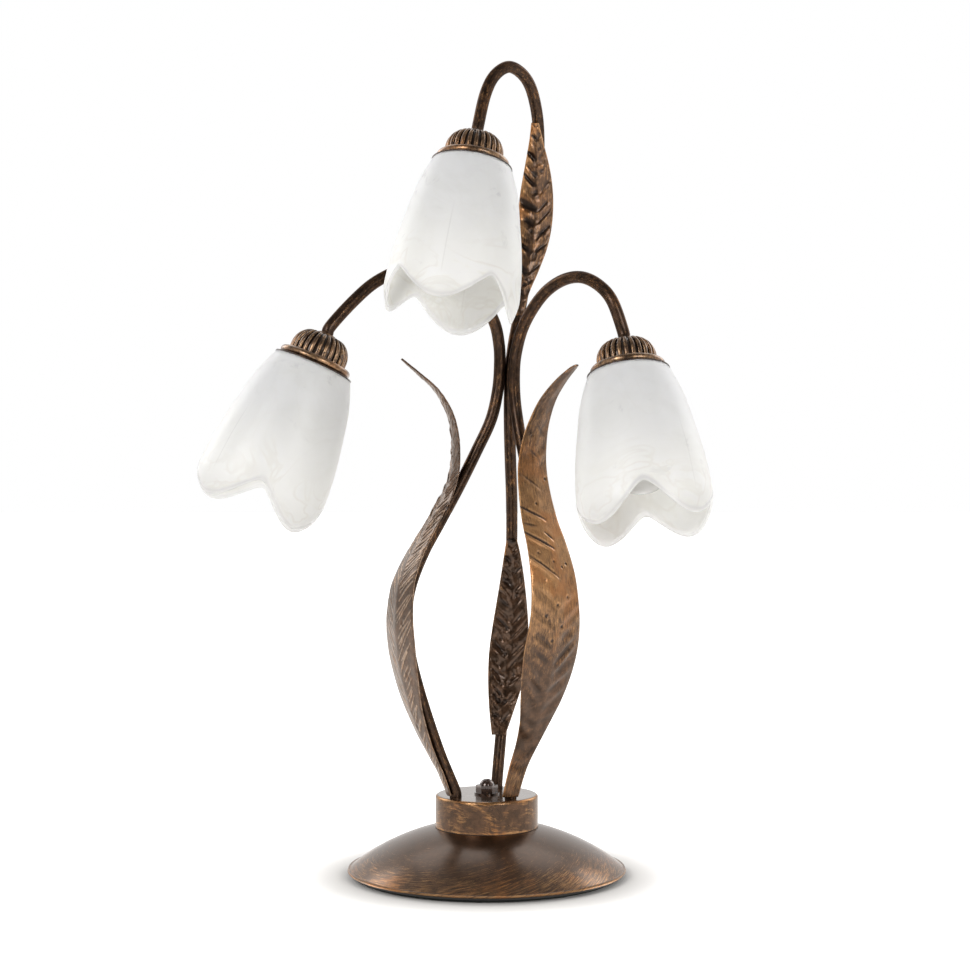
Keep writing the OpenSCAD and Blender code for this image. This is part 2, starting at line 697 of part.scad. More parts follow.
// Half outline of the glass's outside: radius at a share of the glass's length.
mouth_d = glass_max_d - 6;
glass_radii = [glass_top_d / 2, glass_top_d / 2 + 3.4, glass_top_d / 2 + 7.4, glass_max_d / 2 - 6.2,
    glass_max_d / 2 - 3.2, glass_max_d / 2 - 1.3, glass_max_d / 2 - 0.2, glass_max_d / 2, mouth_d / 2];
glass_shares = [0, 0.08, 0.2, 0.36, 0.51, 0.64, 0.77, 0.88, 1];
glass_line = smooth([for (i = [0 : len(glass_radii) - 1])
    [glass_radii[i], -glass_shares[i] * glass_l]], 2);

// Height of the mouth's edge above the petal tips at a turn from a notch's middle.
function petal_edge(turn) = notch_h * (1 - (sqrt(pow(sin(2 * turn), 2) + 0.03) - sqrt(0.03))
    / (sqrt(1.03) - sqrt(0.03)));

// Arch cut out between two petals, drawn as seen from the side.
module notch_outline() {
    half_turn = 42;
    polygon(concat([for (turn = [-half_turn : 7 : half_turn])
        [mouth_d / 2 * sin(turn), -glass_l + petal_edge(turn)]],
        [[mouth_d / 2 * sin(half_turn), -glass_l - 2], [-mouth_d / 2 * sin(half_turn), -glass_l - 2]]));
}

// Tulip glass: a revolved wall with a pierced top, its mouth cut into four petals.
module tulip_glass() {
    petals = 4;
    difference() {
        rotate_extrude($fn = 96) difference() {
            polygon(concat([[0, 0]], glass_line, [[0, -glass_l]]));
            polygon(concat([[0, -glass_top_t]],
                [for (p = glass_line) [p[0] - glass_t, min(p[1], -glass_top_t)]],
                [[mouth_d / 2 - glass_t, -glass_l - 1], [0, -glass_l - 1]]));
        }
        translate([0, 0, -glass_top_t - 1])
            cylinder(d = holder_d + 2 * glass_hole_gap, h = glass_top_t + 2, $fn = 64);
        for (i = [0 : petals - 1]) rotate([90, 0, i * 360 / petals])
            translate([0, 0, mouth_d / 6]) linear_extrude(mouth_d) notch_outline();
    }
}

module left_glass() {
    color(glass_white) on_arm(left_seat, left_turn, left_tilt)
        rotate([0, 0, left_petals]) tulip_glass();
}

module right_glass() {
    color(glass_white) on_arm(right_seat, right_turn, right_tilt)
        rotate([0, 0, right_petals]) tulip_glass();
}

module top_glass() {
    color(glass_white) on_arm(top_seat, top_turn, top_tilt)
        rotate([0, 0, top_petals]) tulip_glass();
}

// Outline of the bulb's envelope, drawn smaller by the wall when it is the hollow.
module envelope_outline(wall) {
    neck_r = bulb_neck_d / 2 - wall;
    intersection() {
        union() {
            translate([0, globe_z]) circle(d = bulb_d - 2 * wall, $fn = 180);
            polygon([[0, globe_z], [bulb_cone_r - wall, globe_z], [neck_r, bulb_neck_z],
                [neck_r, bulb_neck_top_z + wall], [0, bulb_neck_top_z + wall]]);
        }
        translate([0, globe_z - bulb_d]) square([bulb_d, 2 * bulb_d]);
    }
}

// Thin glass envelope: a round globe and an open neck that sits in the base.
module bulb_envelope() {
    rotate_extrude($fn = 96) difference() {
        envelope_outline(0);
        envelope_outline(bulb_wall);
    }
}

// Screw base: a cup round the envelope's neck with the contact on its end.
module bulb_screw_base() {
    difference() {
        union() {
            translate([0, 0, base_bottom_z])
                cylinder(d = bulb_base_d, h = base_top_z - base_bottom_z, $fn = 64);
            translate([0, 0, base_top_z - 1])
                cylinder(d = contact_d, h = bulb_top_z - base_top_z + 1, $fn = 48);
        }
        translate([0, 0, base_bottom_z - 1]) cylinder(d = bulb_neck_d + 2 * bulb_neck_gap,
            h = bulb_neck_top_z - base_bottom_z + bulb_neck_play + 1, $fn = 64);
    }
}

module left_bulb() {
    color(glass_white) on_arm(left_seat, left_turn, left_tilt) bulb_envelope();
}

module right_bulb() {
    color(glass_white) on_arm(right_seat, right_turn, right_tilt) bulb_envelope();
}

module top_bulb() {
    color(glass_white) on_arm(top_seat, top_turn, top_tilt) bulb_envelope();
}

module left_bulb_base() {
    color(steel) on_arm(left_seat, left_turn, left_tilt) bulb_screw_base();
}

module right_bulb_base() {
    color(steel) on_arm(right_seat, right_turn, right_tilt) bulb_screw_base();
}

module top_bulb_base() {
    color(steel) on_arm(top_seat, top_turn, top_tilt) bulb_screw_base();
}

felt_pad();
bottom_plate();
counterweight();
base_dome();
base_drum();
tie_rod();
rod_nuts();
rod_washers();
cap_nut();
cap_nut_washer();
stem_nuts();
cable_bush();
terminal_block();
left_stem();
right_stem();
centre_stem();
waist_weld();
left_long_leaf();
right_long_leaf();
centre_small_leaf();
top_small_leaf();
left_cap();
right_cap();
top_cap();
stem_nipples();
nipple_nuts();
left_holder();
right_holder();
top_holder();
socket_shells();
glass_gaskets();
shade_rings();
left_glass();
right_glass();
top_glass();
left_bulb();
right_bulb();
top_bulb();
left_bulb_base();
right_bulb_base();
top_bulb_base();
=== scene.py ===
"""Looks of the tulip shade table lamp: antique bronze metal, hammered leaves and alabaster glass.

Metres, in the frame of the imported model: +Z up, the lamp is seen from -Y.
"""
import json
import math

import bpy
import numpy as np
from mathutils import Matrix, Vector, noise


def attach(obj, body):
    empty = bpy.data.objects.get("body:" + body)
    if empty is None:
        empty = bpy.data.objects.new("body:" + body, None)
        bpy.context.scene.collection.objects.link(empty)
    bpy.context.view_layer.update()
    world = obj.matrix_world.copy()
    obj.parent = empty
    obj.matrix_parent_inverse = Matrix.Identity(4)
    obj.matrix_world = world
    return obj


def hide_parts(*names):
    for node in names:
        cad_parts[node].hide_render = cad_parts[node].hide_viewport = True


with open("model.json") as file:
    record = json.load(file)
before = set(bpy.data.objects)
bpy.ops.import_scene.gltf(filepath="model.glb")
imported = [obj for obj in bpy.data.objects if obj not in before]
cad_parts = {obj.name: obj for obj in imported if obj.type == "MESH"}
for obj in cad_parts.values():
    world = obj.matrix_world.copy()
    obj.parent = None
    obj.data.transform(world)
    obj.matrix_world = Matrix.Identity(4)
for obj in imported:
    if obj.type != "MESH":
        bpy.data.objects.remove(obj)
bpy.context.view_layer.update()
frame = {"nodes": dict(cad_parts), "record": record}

MM = 0.001

# Camera, as a plain pinhole on the lamp's front
CAMERA_PLACE = (-0.0012, -1.5, 0.308)
CAMERA_DOWN_DEG = 1.62
CAMERA_LENS = 82.0
CAMERA_FILM = 36.0

# Arms: centre of the glass shoulder, compass turn and tilt of the arm, turn of the glass on it
ARMS = {
    "left": {"seat": (-113.3, -56.8, 344.5), "turn": 196.5, "tilt": 24, "petals": 78},
    "right": {"seat": (90.3, -89.5, 339.1), "turn": -72, "tilt": 19.3, "petals": 68},
    "top": {"seat": (-9.8, -49.6, 475.8), "turn": 239, "tilt": 16.5, "petals": 67},
}
DRUM_TOP = 55

# Stem centrelines from foot to shade, in millimetres: x, y, height over the drum's top
STEMS = {
    "left": [
        (-21, -13, -11), (-21, -13, -1), (-21.5, -13.1, 4), (-25, -14, 13), (-31.5, -15, 29),
        (-39, -16.5, 51), (-46, -18, 74), (-51.5, -19.5, 97), (-54, -20, 120),
        (-51.4, -19.4, 142), (-42.8, -17.6, 165), (-31, -14, 187), (-18.2, -9.5, 211),
        (-6.8, -5.2, 234), (2.9, -1.8, 255), (7.5, 0, 275), (8.8, 0.3, 292), (8.3, -0.5, 306),
        (5, -3, 321), (-4, -7, 336.5), (-18.5, -13.5, 351.5), (-38, -22, 357.5),
        (-56, -30, 354.5), (-73, -37.5, 346), (-87, -44, 333.5),
    ],
    "right": [
        (16, -16.5, -11), (16, -16.5, -1), (16.2, -16.8, 4), (17.2, -18.2, 11), (20.5, -21, 25),
        (25.3, -25.7, 41), (30, -30.5, 56.5), (34, -35.2, 73), (37, -39, 89), (39.5, -41.5, 105),
        (41, -42.7, 120), (41.2, -42.5, 135), (39.7, -40.7, 151.5), (36, -36.5, 173),
        (31, -29, 199), (26, -18, 226), (21.8, -9, 248), (19, -4.8, 269), (18.6, -4.3, 288),
        (20, -5.5, 301), (24, -10, 316), (31, -18, 329.5), (40, -29, 340.5), (51, -43, 347),
        (62, -56.8, 347.6), (72.3, -69, 341.7), (80.5, -78.3, 331),
    ],
    "top": [
        (7, 22.5, -11), (7, 22.5, -1), (7.1, 22.8, 5), (8.3, 25.5, 19), (10.6, 31.5, 45),
        (12.5, 37, 75), (14, 39, 105), (16, 36.5, 137), (17.3, 30.5, 169), (17.2, 22, 199),
        (16.3, 13.5, 225), (15.6, 7, 249), (15.5, 4.2, 270), (16.2, 3.7, 289), (18.2, 5, 306),
        (22, 9, 326), (26, 15.5, 349), (30.5, 21, 375), (33.5, 23, 401), (35.2, 20.5, 425),
        (35.5, 15, 448), (33.7, 8, 465.3), (29.3, -0.5, 480), (22.5, -9.5, 488), (14, -19.5, 490),
        (5, -29, 482.5), (-1, -36, 469.3),
    ],
}
STEM_NODES = {"left": "left_stem", "right": "right_stem", "top": "centre_stem"}

# Leaves, in millimetres: x, y, height over the drum's top, half width, angle the front faces
LEAVES = {
    "left_long_leaf": [
        (-26.6, -14.9, 1.2, 5, 198), (-32.1, -16.2, 15.5, 6.6, 199), (-37.8, -17.1, 27, 8, 201),
        (-44.2, -18.2, 40.5, 10.6, 204), (-51.2, -19.6, 58.5, 14.8, 205.5),
        (-55.2, -20.6, 72, 18.5, 205.5), (-58.8, -21.8, 88.5, 22, 205.5),
        (-61, -22.4, 104, 23.5, 205.5), (-61.8, -22.6, 120.5, 22.5, 205.5),
        (-60.6, -22.2, 136.5, 20.8, 205), (-58, -21.4, 149, 19.2, 203.5),
        (-52.1, -20.3, 163.5, 17.6, 201), (-45.2, -18.7, 176, 16.3, 199),
        (-36.5, -17.2, 191.5, 15, 197), (-28.8, -15.5, 205.5, 13.5, 197),
        (-24.2, -14.4, 218.5, 11.6, 197), (-22.7, -13.8, 233, 10, 197),
        (-23.4, -13.9, 246.5, 8.8, 197), (-25.9, -14.4, 257.5, 7.8, 197),
        (-30.8, -15.3, 268, 6.7, 197), (-37.6, -16.9, 277, 5.4, 197),
        (-47, -18.4, 285.5, 3.7, 197), (-57.5, -20, 295, 1, 197),
    ],
    "right_long_leaf": [
        (16, -22.4, 1.2, 5.5, -80), (21.5, -26, 21.5, 6.5, -73), (28, -29.6, 38, 8.7, -66),
        (33.8, -34.3, 54, 12.5, -60), (38.3, -37.7, 69, 17.6, -55),
        (42.4, -41.4, 86, 22.1, -51), (45.1, -43.9, 101.5, 23.7, -50),
        (47.1, -45.3, 117.5, 22.6, -50), (47.5, -45.2, 133, 21, -50),
        (45.9, -43.5, 152.5, 19.5, -50), (41.8, -41, 172, 17.4, -50),
        (36.6, -38.7, 190, 15.5, -50), (33.1, -36.4, 208.5, 13.7, -50),
        (31.7, -34.9, 225, 12.4, -50), (33.2, -34.9, 241.5, 10.7, -50),
        (36.3, -35.8, 254.5, 9, -50), (41.7, -38.4, 268, 7.2, -50),
        (49.4, -43, 279.5, 5.2, -50), (56.6, -49, 287.5, 3, -50), (59.5, -52, 290, 1, -50),
    ],
    "centre_small_leaf": [
        (8.2, 23.9, 37, 4.8, -92), (10.2, 27.4, 53, 8.5, -92), (12.8, 30.8, 72, 12, -92),
        (14.6, 32.6, 91, 13.3, -92), (16.2, 32.9, 108, 12.8, -92), (17.2, 31.6, 126, 10.8, -92),
        (17.7, 29.1, 145, 8.2, -92), (17.6, 25.7, 163, 5.4, -92), (17.2, 23.7, 172, 3.6, -92),
    ],
    "top_small_leaf": [
        (22.5, 3.4, 326, 2.2, -84), (24.6, 7.7, 342, 4.7, -84), (28.2, 12, 358, 8, -84),
        (31.6, 15.4, 375, 10.8, -84), (33.5, 17.2, 392, 12, -84), (34.5, 16.6, 410, 11.3, -84),
        (34.7, 14, 427, 8.6, -84), (33.8, 9.7, 444, 4.8, -84), (32.9, 5.4, 456, 2.6, -84),
    ],
}


# ---------------- node trees in few words

class Wires:
    """Adds nodes to one tree; an input is given as a value or as the socket that feeds it."""

    def __init__(self, tree):
        self.tree = tree

    def add(self, kind, inputs=(), **settings):
        """A new node with its settings made first, since they decide which inputs it has."""
        node = self.tree.nodes.new(kind)
        for name, value in settings.items():
            setattr(node, name, value)
        for key, value in dict(inputs).items():
            self.feed(node.inputs[key], value)
        return node

    def feed(self, socket, value):
        if isinstance(value, bpy.types.NodeSocket):
            self.tree.links.new(value, socket)
        else:
            socket.default_value = value

    def dress(self, sockets, **values):
        """Feeds several sockets; an underscore in a name stands for a space."""
        for name, value in values.items():
            self.feed(sockets[name.replace("_", " ")], value)

    def math(self, operation, a, b=0.0, c=0.0):
        return self.add("ShaderNodeMath", {0: a, 1: b, 2: c}, operation=operation).outputs[0]

    def plus(self, a, b):
        return self.math("ADD", a, b)

    def minus(self, a, b):
        return self.math("SUBTRACT", a, b)

    def times(self, a, b):
        return self.math("MULTIPLY", a, b)

    def over(self, a, b):
        return self.math("DIVIDE", a, b)

    def times_plus(self, a, b, c):
        return self.math("MULTIPLY_ADD", a, b, c)

    def swing(self, noise, spread, middle):
        """A noise of 0 to 1 made to swing by half the spread to both sides of the middle."""
        return self.times_plus(self.minus(noise, 0.5), spread, middle)

    def thread(self, noise, width):
        """1 along the thin line where a noise is half way, falling to 0 at the given width."""
        return self.ramp(self.math("ABSOLUTE", self.minus(noise, 0.5)), 0.0, width, 1.0, 0.0)

    def radius(self, x, y):
        """Distance from the upright axis."""
        return self.math("SQRT", self.plus(self.times(x, x), self.times(y, y)))

    def vector(self, operation, a, b=(0, 0, 0), scale=None):
        node = self.add("ShaderNodeVectorMath", {0: a, 1: b}, operation=operation)
        if scale is not None:
            self.feed(node.inputs["Scale"], scale)
        return node.outputs["Value" if operation in ("LENGTH", "DOT_PRODUCT") else "Vector"]

    def split(self, vector):
        return self.add("ShaderNodeSeparateXYZ", {0: vector}).outputs

    def join(self, x, y, z):
        return self.add("ShaderNodeCombineXYZ", {0: x, 1: y, 2: z}).outputs[0]

    def blend(self, factor, a, b, how="MIX"):
        """Colour b over colour a."""
        inputs = {0: factor, 6: a, 7: b}
        return self.add("ShaderNodeMix", inputs, data_type="RGBA", blend_type=how).outputs[2]

    def ramp(self, value, low, high, to_low=0.0, to_high=1.0):
        """Smooth step of value from low..high to to_low..to_high."""
        node = self.add("ShaderNodeMapRange", interpolation_type="SMOOTHSTEP")
        self.dress(node.inputs, Value=value, From_Min=low, From_Max=high, To_Min=to_low,
                   To_Max=to_high)
        return node.outputs[0]

    def noise(self, vector, scale, detail=3.0, roughness=0.5, distortion=0.0):
        node = self.add("ShaderNodeTexNoise")
        self.dress(node.inputs, Vector=vector, Scale=scale, Detail=detail, Roughness=roughness,
                   Distortion=distortion)
        return node.outputs["Fac"]

    def shape(self, kind, **inputs):
        """First output of a Geometry Nodes node."""
        node = self.add("GeometryNode" + kind)
        self.dress(node.inputs, **inputs)
        return node.outputs[0]

    def group(self, tree, **inputs):
        node = self.add("ShaderNodeGroup", node_tree=tree)
        self.dress(node.inputs, **inputs)
        return node.outputs


SOCKETS = {"value": "NodeSocketFloat", "count": "NodeSocketInt", "colour": "NodeSocketColor",
           "vector": "NodeSocketVector", "geometry": "NodeSocketGeometry",
           "paint": "NodeSocketMaterial"}


def new_group(name, takes, gives, kind="ShaderNodeTree"):
    """An empty node group; takes and gives are lists of (name, kind of socket, default)."""
    tree = bpy.data.node_groups.new(name, kind)
    for direction, sockets in (("INPUT", takes), ("OUTPUT", gives)):
        for label, form, default in sockets:
            socket = tree.interface.new_socket(label, in_out=direction, socket_type=SOCKETS[form])
            if default is not None:
                socket.default_value = default
    wires = Wires(tree)
    return tree, wires, wires.add("NodeGroupInput").outputs, wires.add("NodeGroupOutput")


def finish_group(wires, out, **results):
    """Links the results to the group's outputs of the same names."""
    for name, socket in results.items():
        wires.tree.links.new(socket, out.inputs[name])


# ---------------- shared surface effects

BROWN = (0.05, 0.028, 0.016, 1)
GOLD = (0.36, 0.19, 0.08, 1)
# Gold with a painted silvery sheen, for the leaf that catches the light from the left
GOLD_WITH_PAINTED_SHEEN = (0.38, 0.32, 0.26, 1)


def round_place_group():
    """Place on a turned part for brush strokes that run round it and climb as they go."""
    tree, w, takes, out = new_group(
        "round_place",
        [("Position", "vector", None), ("Around", "value", 3.0), ("Across", "value", 60.0),
         ("Climb", "value", 0.0), ("Side Climb", "value", 0.0)],
        [("Place", "vector", None)])
    x, y, z = w.split(takes["Position"])
    radius = w.radius(x, y)
    sine = w.over(x, radius)
    cosine = w.over(y, radius)
    climb = w.plus(w.times(sine, takes["Climb"]), w.times(cosine, takes["Side Climb"]))
    ring_x = w.times(sine, takes["Around"])
    ring_y = w.times(cosine, takes["Around"])
    rise = w.times(w.plus(w.minus(radius, z), climb), takes["Across"])
    finish_group(w, out, Place=w.join(ring_x, ring_y, rise))
    return tree


def antique_rub_group():
    """Dark brown lacquer with gold rubbed over it: cloudy, in fine strokes, more on worn places,
    less in hollows, which are also darkened with painted shade.
    """
    tree, w, takes, out = new_group(
        "antique_rub",
        [("Position", "vector", None), ("Strokes", "vector", None), ("Amount", "value", 0.5),
         ("Wear", "value", 0.0), ("Hollow", "value", 0.0), ("Softness", "value", 0.35),
         ("Mottling", "value", 1.0),
         ("Brown", "colour", BROWN), ("Gold", "colour", GOLD),
         ("Gloss", "value", 0.3)],
        [("Colour", "colour", None), ("Roughness", "value", None), ("Metal", "value", None),
         ("Height", "value", None)])
    fine = w.noise(takes["Strokes"], 1.0, 7.0, 0.68, 0.3)
    thread = w.thread(w.noise(takes["Strokes"], 1.9, 3.0, 0.55, 0.6), 0.045)
    cloud = w.noise(takes["Position"], 42.0, 3.0, 0.55, 0.6)
    mottle = w.noise(takes["Position"], 190.0, 4.0, 0.6, 0.3)
    mottle = w.swing(mottle, takes["Mottling"], 0.5)
    mark = w.swing(fine, 1.9, 0.5)
    mark = w.times_plus(thread, 0.2, mark)
    level = w.swing(cloud, 0.55, takes["Amount"])
    level = w.swing(mottle, 0.35, level)
    level = w.times_plus(takes["Wear"], 0.55, level)
    level = w.times_plus(takes["Hollow"], -0.5, level)
    start = w.minus(1.0, level)
    rub = w.ramp(mark, w.minus(start, takes["Softness"]), w.plus(start, takes["Softness"]))
    lit_brown = w.blend(1.0, takes["Brown"], (1.9, 1.8, 1.75, 1), "MULTIPLY")
    brown = w.blend(w.ramp(mottle, 0.35, 0.68), takes["Brown"], lit_brown)
    rust = w.blend(1.0, takes["Gold"], (0.95, 0.8, 0.68, 1), "MULTIPLY")
    gold = w.blend(w.ramp(cloud, 0.46, 0.62), takes["Gold"], rust)
    bright = w.blend(1.0, takes["Gold"], (1.45, 1.5, 1.5, 1), "MULTIPLY")
    gold = w.blend(w.times(w.ramp(mark, 0.72, 1.0), 0.8), gold, bright)
    colour = w.blend(w.times(rub, 0.92), brown, gold)
    # Painted shade: the hollow input darkens the colour towards near black, where shade would fall
    colour = w.blend(w.times(takes["Hollow"], 0.85), colour, (0.02, 0.012, 0.008, 1))
    rough = w.swing(mottle, 0.22, takes["Gloss"])
    metal = w.times_plus(rub, 0.12, 0.85)
    height = w.times_plus(rub, 0.5, w.times(mark, 0.5))
    finish_group(w, out, Colour=colour, Roughness=rough, Metal=metal, Height=height)
    return tree


def alabaster_group():
    """Cloudy white glass: soft grey veils, a few small smudges and long warm swirls."""
    tree, w, takes, out = new_group(
        "alabaster",
        [("Position", "vector", None), ("Swirls", "value", 0.0),
         ("White", "colour", (0.98, 0.975, 0.87, 1)), ("Veil", "colour", (0.905, 0.9, 0.785, 1)),
         ("Warm", "colour", (0.74, 0.69, 0.58, 1))],
        [("Colour", "colour", None), ("Cloud", "value", None)])
    cloud = w.noise(takes["Position"], 17.0, 3.0, 0.5, 1.0)
    veil = w.ramp(cloud, 0.4, 0.66)
    drift = w.noise(takes["Position"], 34.0, 5.0, 0.6, 2.2)
    smudge = w.times(w.ramp(drift, 0.57, 0.7), w.ramp(cloud, 0.5, 0.6))
    swirl = w.noise(takes["Position"], 24.0, 2.5, 0.5, 2.2)
    band = w.times(w.ramp(swirl, 0.5, 0.62), takes["Swirls"])
    line = w.times(w.thread(swirl, 0.055), w.times(takes["Swirls"], 0.95))
    colour = w.blend(w.times(veil, 0.6), takes["White"], takes["Veil"])
    colour = w.blend(w.times(band, 0.5), colour, (0.97, 0.965, 0.92, 1))
    colour = w.blend(w.times(smudge, 0.6), colour, (0.68, 0.67, 0.6, 1))
    colour = w.blend(w.times(line, 0.5), colour, takes["Warm"])
    finish_group(w, out, Colour=colour, Cloud=veil)
    return tree


ROUND_PLACE = round_place_group()
ANTIQUE_RUB = antique_rub_group()
ALABASTER = alabaster_group()


# ---------------- materials

def new_material(name):
    """A material with a bare Principled shader: the material, its wires, the shader's inputs."""
    paint = bpy.data.materials.new(name)
    paint.use_nodes = True
    paint.node_tree.nodes.clear()
    wires = Wires(paint.node_tree)
    shader = wires.add("ShaderNodeBsdfPrincipled")
    out = wires.add("ShaderNodeOutputMaterial")
    paint.node_tree.links.new(shader.outputs[0], out.inputs["Surface"])
    return paint, wires, shader.inputs


def bump(w, height, strength, distance):
    node = w.add("ShaderNodeBump")
    w.dress(node.inputs, Height=height, Strength=strength, Distance=distance)
    return node.outputs[0]


def object_place(w):
    return w.add("ShaderNodeTexCoord").outputs["Object"]


def mark(w, name, output="Fac"):
    """Reads a named attribute of the mesh."""
    return w.add("ShaderNodeAttribute", attribute_name=name).outputs[output]


def dress_in_rub(w, skin, place, strokes, coat, coat_roughness, edge=(1, 1, 1), bump_height=0.00006,
                 **values):
    """Feeds a shader with the antique rub; values are the other inputs of that group."""
    rub = w.group(ANTIQUE_RUB, Position=place, Strokes=strokes, **values)
    w.dress(skin, Base_Color=rub["Colour"], Roughness=rub["Roughness"], Metallic=rub["Metal"],
            Specular_Tint=edge + (1,), Coat_Weight=coat, Coat_Roughness=coat_roughness,
            Normal=bump(w, rub["Height"], 0.5, bump_height))


def dish_paint():
    """Brushed round the dish, more golden low down and on the rim, with painted shade under the rim.
    """
    paint, w, skin = new_material("dish_antique_bronze")
    place = object_place(w)
    strokes = w.group(ROUND_PLACE, Position=place, Around=7.5, Across=1000.0, Climb=0.045,
                      Side_Climb=0.028)
    z = w.split(place)[2]
    dress_in_rub(w, skin, place, strokes[0], 0.4, 0.2, edge=(0.85, 0.8, 0.76),
                 Amount=w.ramp(z, 0.006, 0.03, 0.34, -0.05),
                 Wear=w.ramp(z, 0.0044, 0.0052, 0.45, 0.0),
                 # Painted shade: the underside below the rim's edge is darkened
                 Hollow=w.ramp(z, 0.0034, 0.0038, 1.0, 0.0), Softness=0.24, Mottling=0.35)
    return paint


def drum_paint():
    """Scratched along its side, worn at both edges, with a flat top of dark glossy lacquer and
    painted shade along its foot, where it meets the dish.
    """
    paint, w, skin = new_material("drum_antique_bronze")
    place = object_place(w)
    x, y, z = w.split(place)
    bow = w.noise(place, 26.0, 2.0, 0.5, 0.4)
    lean = w.swing(bow, 0.012, w.times_plus(x, 0.12, z))
    strokes = w.join(w.times(x, 130.0), w.times(y, 130.0), w.times(lean, 900.0))
    top_edge = w.times(w.ramp(z, 0.0525, 0.0545), w.ramp(w.radius(x, y), 0.0325, 0.0342))
    foot_edge = w.ramp(z, 0.0335, 0.0352, 0.6, 0.0)
    flat_top = w.ramp(z, 0.0546, 0.055)
    patches = w.ramp(w.noise(place, 70.0, 3.0, 0.6, 1.2), 0.34, 0.66, -0.04, 0.34)
    dress_in_rub(w, skin, place, strokes, w.times_plus(flat_top, 0.75, 0.15), 0.12,
                 edge=(0.85, 0.78, 0.72), Amount=w.times_plus(flat_top, -0.3, patches),
                 Wear=w.math("MAXIMUM", top_edge, foot_edge),
                 # Painted shade: the lowest strip of the side, against the dish, is darkened
                 Hollow=w.ramp(z, 0.0328, 0.0334, 1.0, 0.0))
    return paint


def stem_paint():
    paint, w, skin = new_material("stem_antique_bronze")
    ring = w.vector("SCALE", mark(w, "ring", "Vector"), scale=3.0)
    strokes = w.vector("ADD", ring, w.join(0.0, 0.0, w.times(mark(w, "along"), 230.0)))
    dress_in_rub(w, skin, object_place(w), strokes, 0.1, 0.16, edge=(0.5, 0.43, 0.38), Amount=0.05,
                 Brown=(0.024, 0.014, 0.009, 1), Softness=0.42, Gloss=0.36)
    return paint


def leaf_paint():
    """Gilded where the leaf's marks say, with painted shade in the cuts, rubbed on ridges and edges.
    """
    paint, w, skin = new_material("leaf_antique_bronze")
    strokes = w.vector("MULTIPLY", mark(w, "leaf_place", "Vector"), (170.0, 900.0, 1.0))
    relief = mark(w, "relief")
    wear = w.math("MAXIMUM", w.ramp(relief, 0.1, 0.9), w.times(mark(w, "edge"), 0.8))
    dress_in_rub(w, skin, object_place(w), strokes, 0.3, 0.18, edge=(0.85, 0.8, 0.75),
                 bump_height=0.0001, Amount=mark(w, "gilding"), Wear=wear,
                 # This mark tints the gold silvery: a painted sheen of the light from the left
                 Gold=w.blend(mark(w, "painted_sheen"), GOLD, GOLD_WITH_PAINTED_SHEEN),
                 # Painted shade: cuts darken towards near black by their depth
                 Hollow=w.ramp(relief, -0.12, -0.9), Softness=0.5, Gloss=0.32)
    return paint


def cap_paint():
    paint, w, skin = new_material("cap_antique_bronze")
    strokes = w.group(ROUND_PLACE, Position=mark(w, "arm_place", "Vector"), Around=9.0,
                      Across=260.0)
    relief = mark(w, "relief")
    dress_in_rub(w, skin, object_place(w), strokes[0], 0.35, 0.14, Amount=0.42,
                 Gold=(0.31, 0.185, 0.095, 1), Wear=w.ramp(relief, 0.2, 1.0),
                 # Painted shade: the bell between the ribs and the brim under the bead are darkened
                 Hollow=w.ramp(relief, 0.0, -0.9))
    return paint


def nut_paint():
    paint, w, skin = new_material("nut_dark_bronze")
    place = object_place(w)
    dress_in_rub(w, skin, place, w.vector("SCALE", place, scale=520.0), 0.9, 0.06, Amount=0.02,
                 Brown=(0.035, 0.02, 0.014, 1))
    return paint


def mould_seam(w):
    """Mask of the two thin seams that the mould leaves down opposite petals."""
    x, y, _ = w.split(mark(w, "glass_place", "Vector"))
    off = w.times(w.math("ABSOLUTE", w.plus(x, y)), 0.7071)
    return w.ramp(off, 0.00015, 0.0007, 1.0, 0.0)


def shade_glass():
    """Frosted cloudy glass whose last few millimetres at the mouth are clear, with painted shade
    greying it towards the mouth and a painted dark line along the edge.
    """
    paint, w, skin = new_material("alabaster_shade_glass")
    place = object_place(w)
    from_rim = mark(w, "from_rim")
    swirls = w.ramp(from_rim, 0.01, 0.034, 1.0, 0.12)
    stone = w.group(ALABASTER, Position=place, Swirls=swirls)
    wander = w.times(w.minus(w.noise(place, 60.0, 2.0), 0.5), 0.004)
    depth = w.plus(from_rim, wander)
    clear = w.ramp(depth, 0.0006, 0.004, 1.0, 0.0)
    lip = w.ramp(from_rim, 0.0002, 0.0009, 1.0, 0.0)
    # Painted shade: the glass greys towards the mouth, evening out how the light falls on it
    thin = w.ramp(from_rim, 0.015, 0.08, 0.3, 0.0)
    colour = w.blend(thin, stone["Colour"], (0.82, 0.81, 0.72, 1))
    colour = w.blend(clear, colour, (0.88, 0.87, 0.83, 1))
    # Painted shade: a thin grey line along the very edge of the mouth
    colour = w.blend(w.times(lip, 0.3), colour, (0.78, 0.78, 0.75, 1))
    solid = w.minus(1.0, w.times(clear, w.times_plus(lip, -0.1, 0.2)))
    seam = w.times(mould_seam(w), w.ramp(from_rim, 0.012, 0.02))
    seam = w.times(seam, w.ramp(from_rim, 0.045, 0.07, 1.0, 0.0))
    colour = w.blend(w.times(seam, 0.25), colour, (0.6, 0.59, 0.5, 1))
    behind = w.add("ShaderNodeNewGeometry").outputs["Backfacing"]
    w.dress(skin, Base_Color=colour, Roughness=w.ramp(clear, 0.0, 1.0, 0.46, 0.2),
            Alpha=w.times(solid, w.minus(1.0, behind)), IOR=1.45, Subsurface_Weight=1.0,
            Subsurface_Radius=(0.02, 0.02, 0.019), Subsurface_Scale=1.0,
            Normal=bump(w, w.plus(stone["Cloud"], seam), 0.1, 0.0003))
    return paint


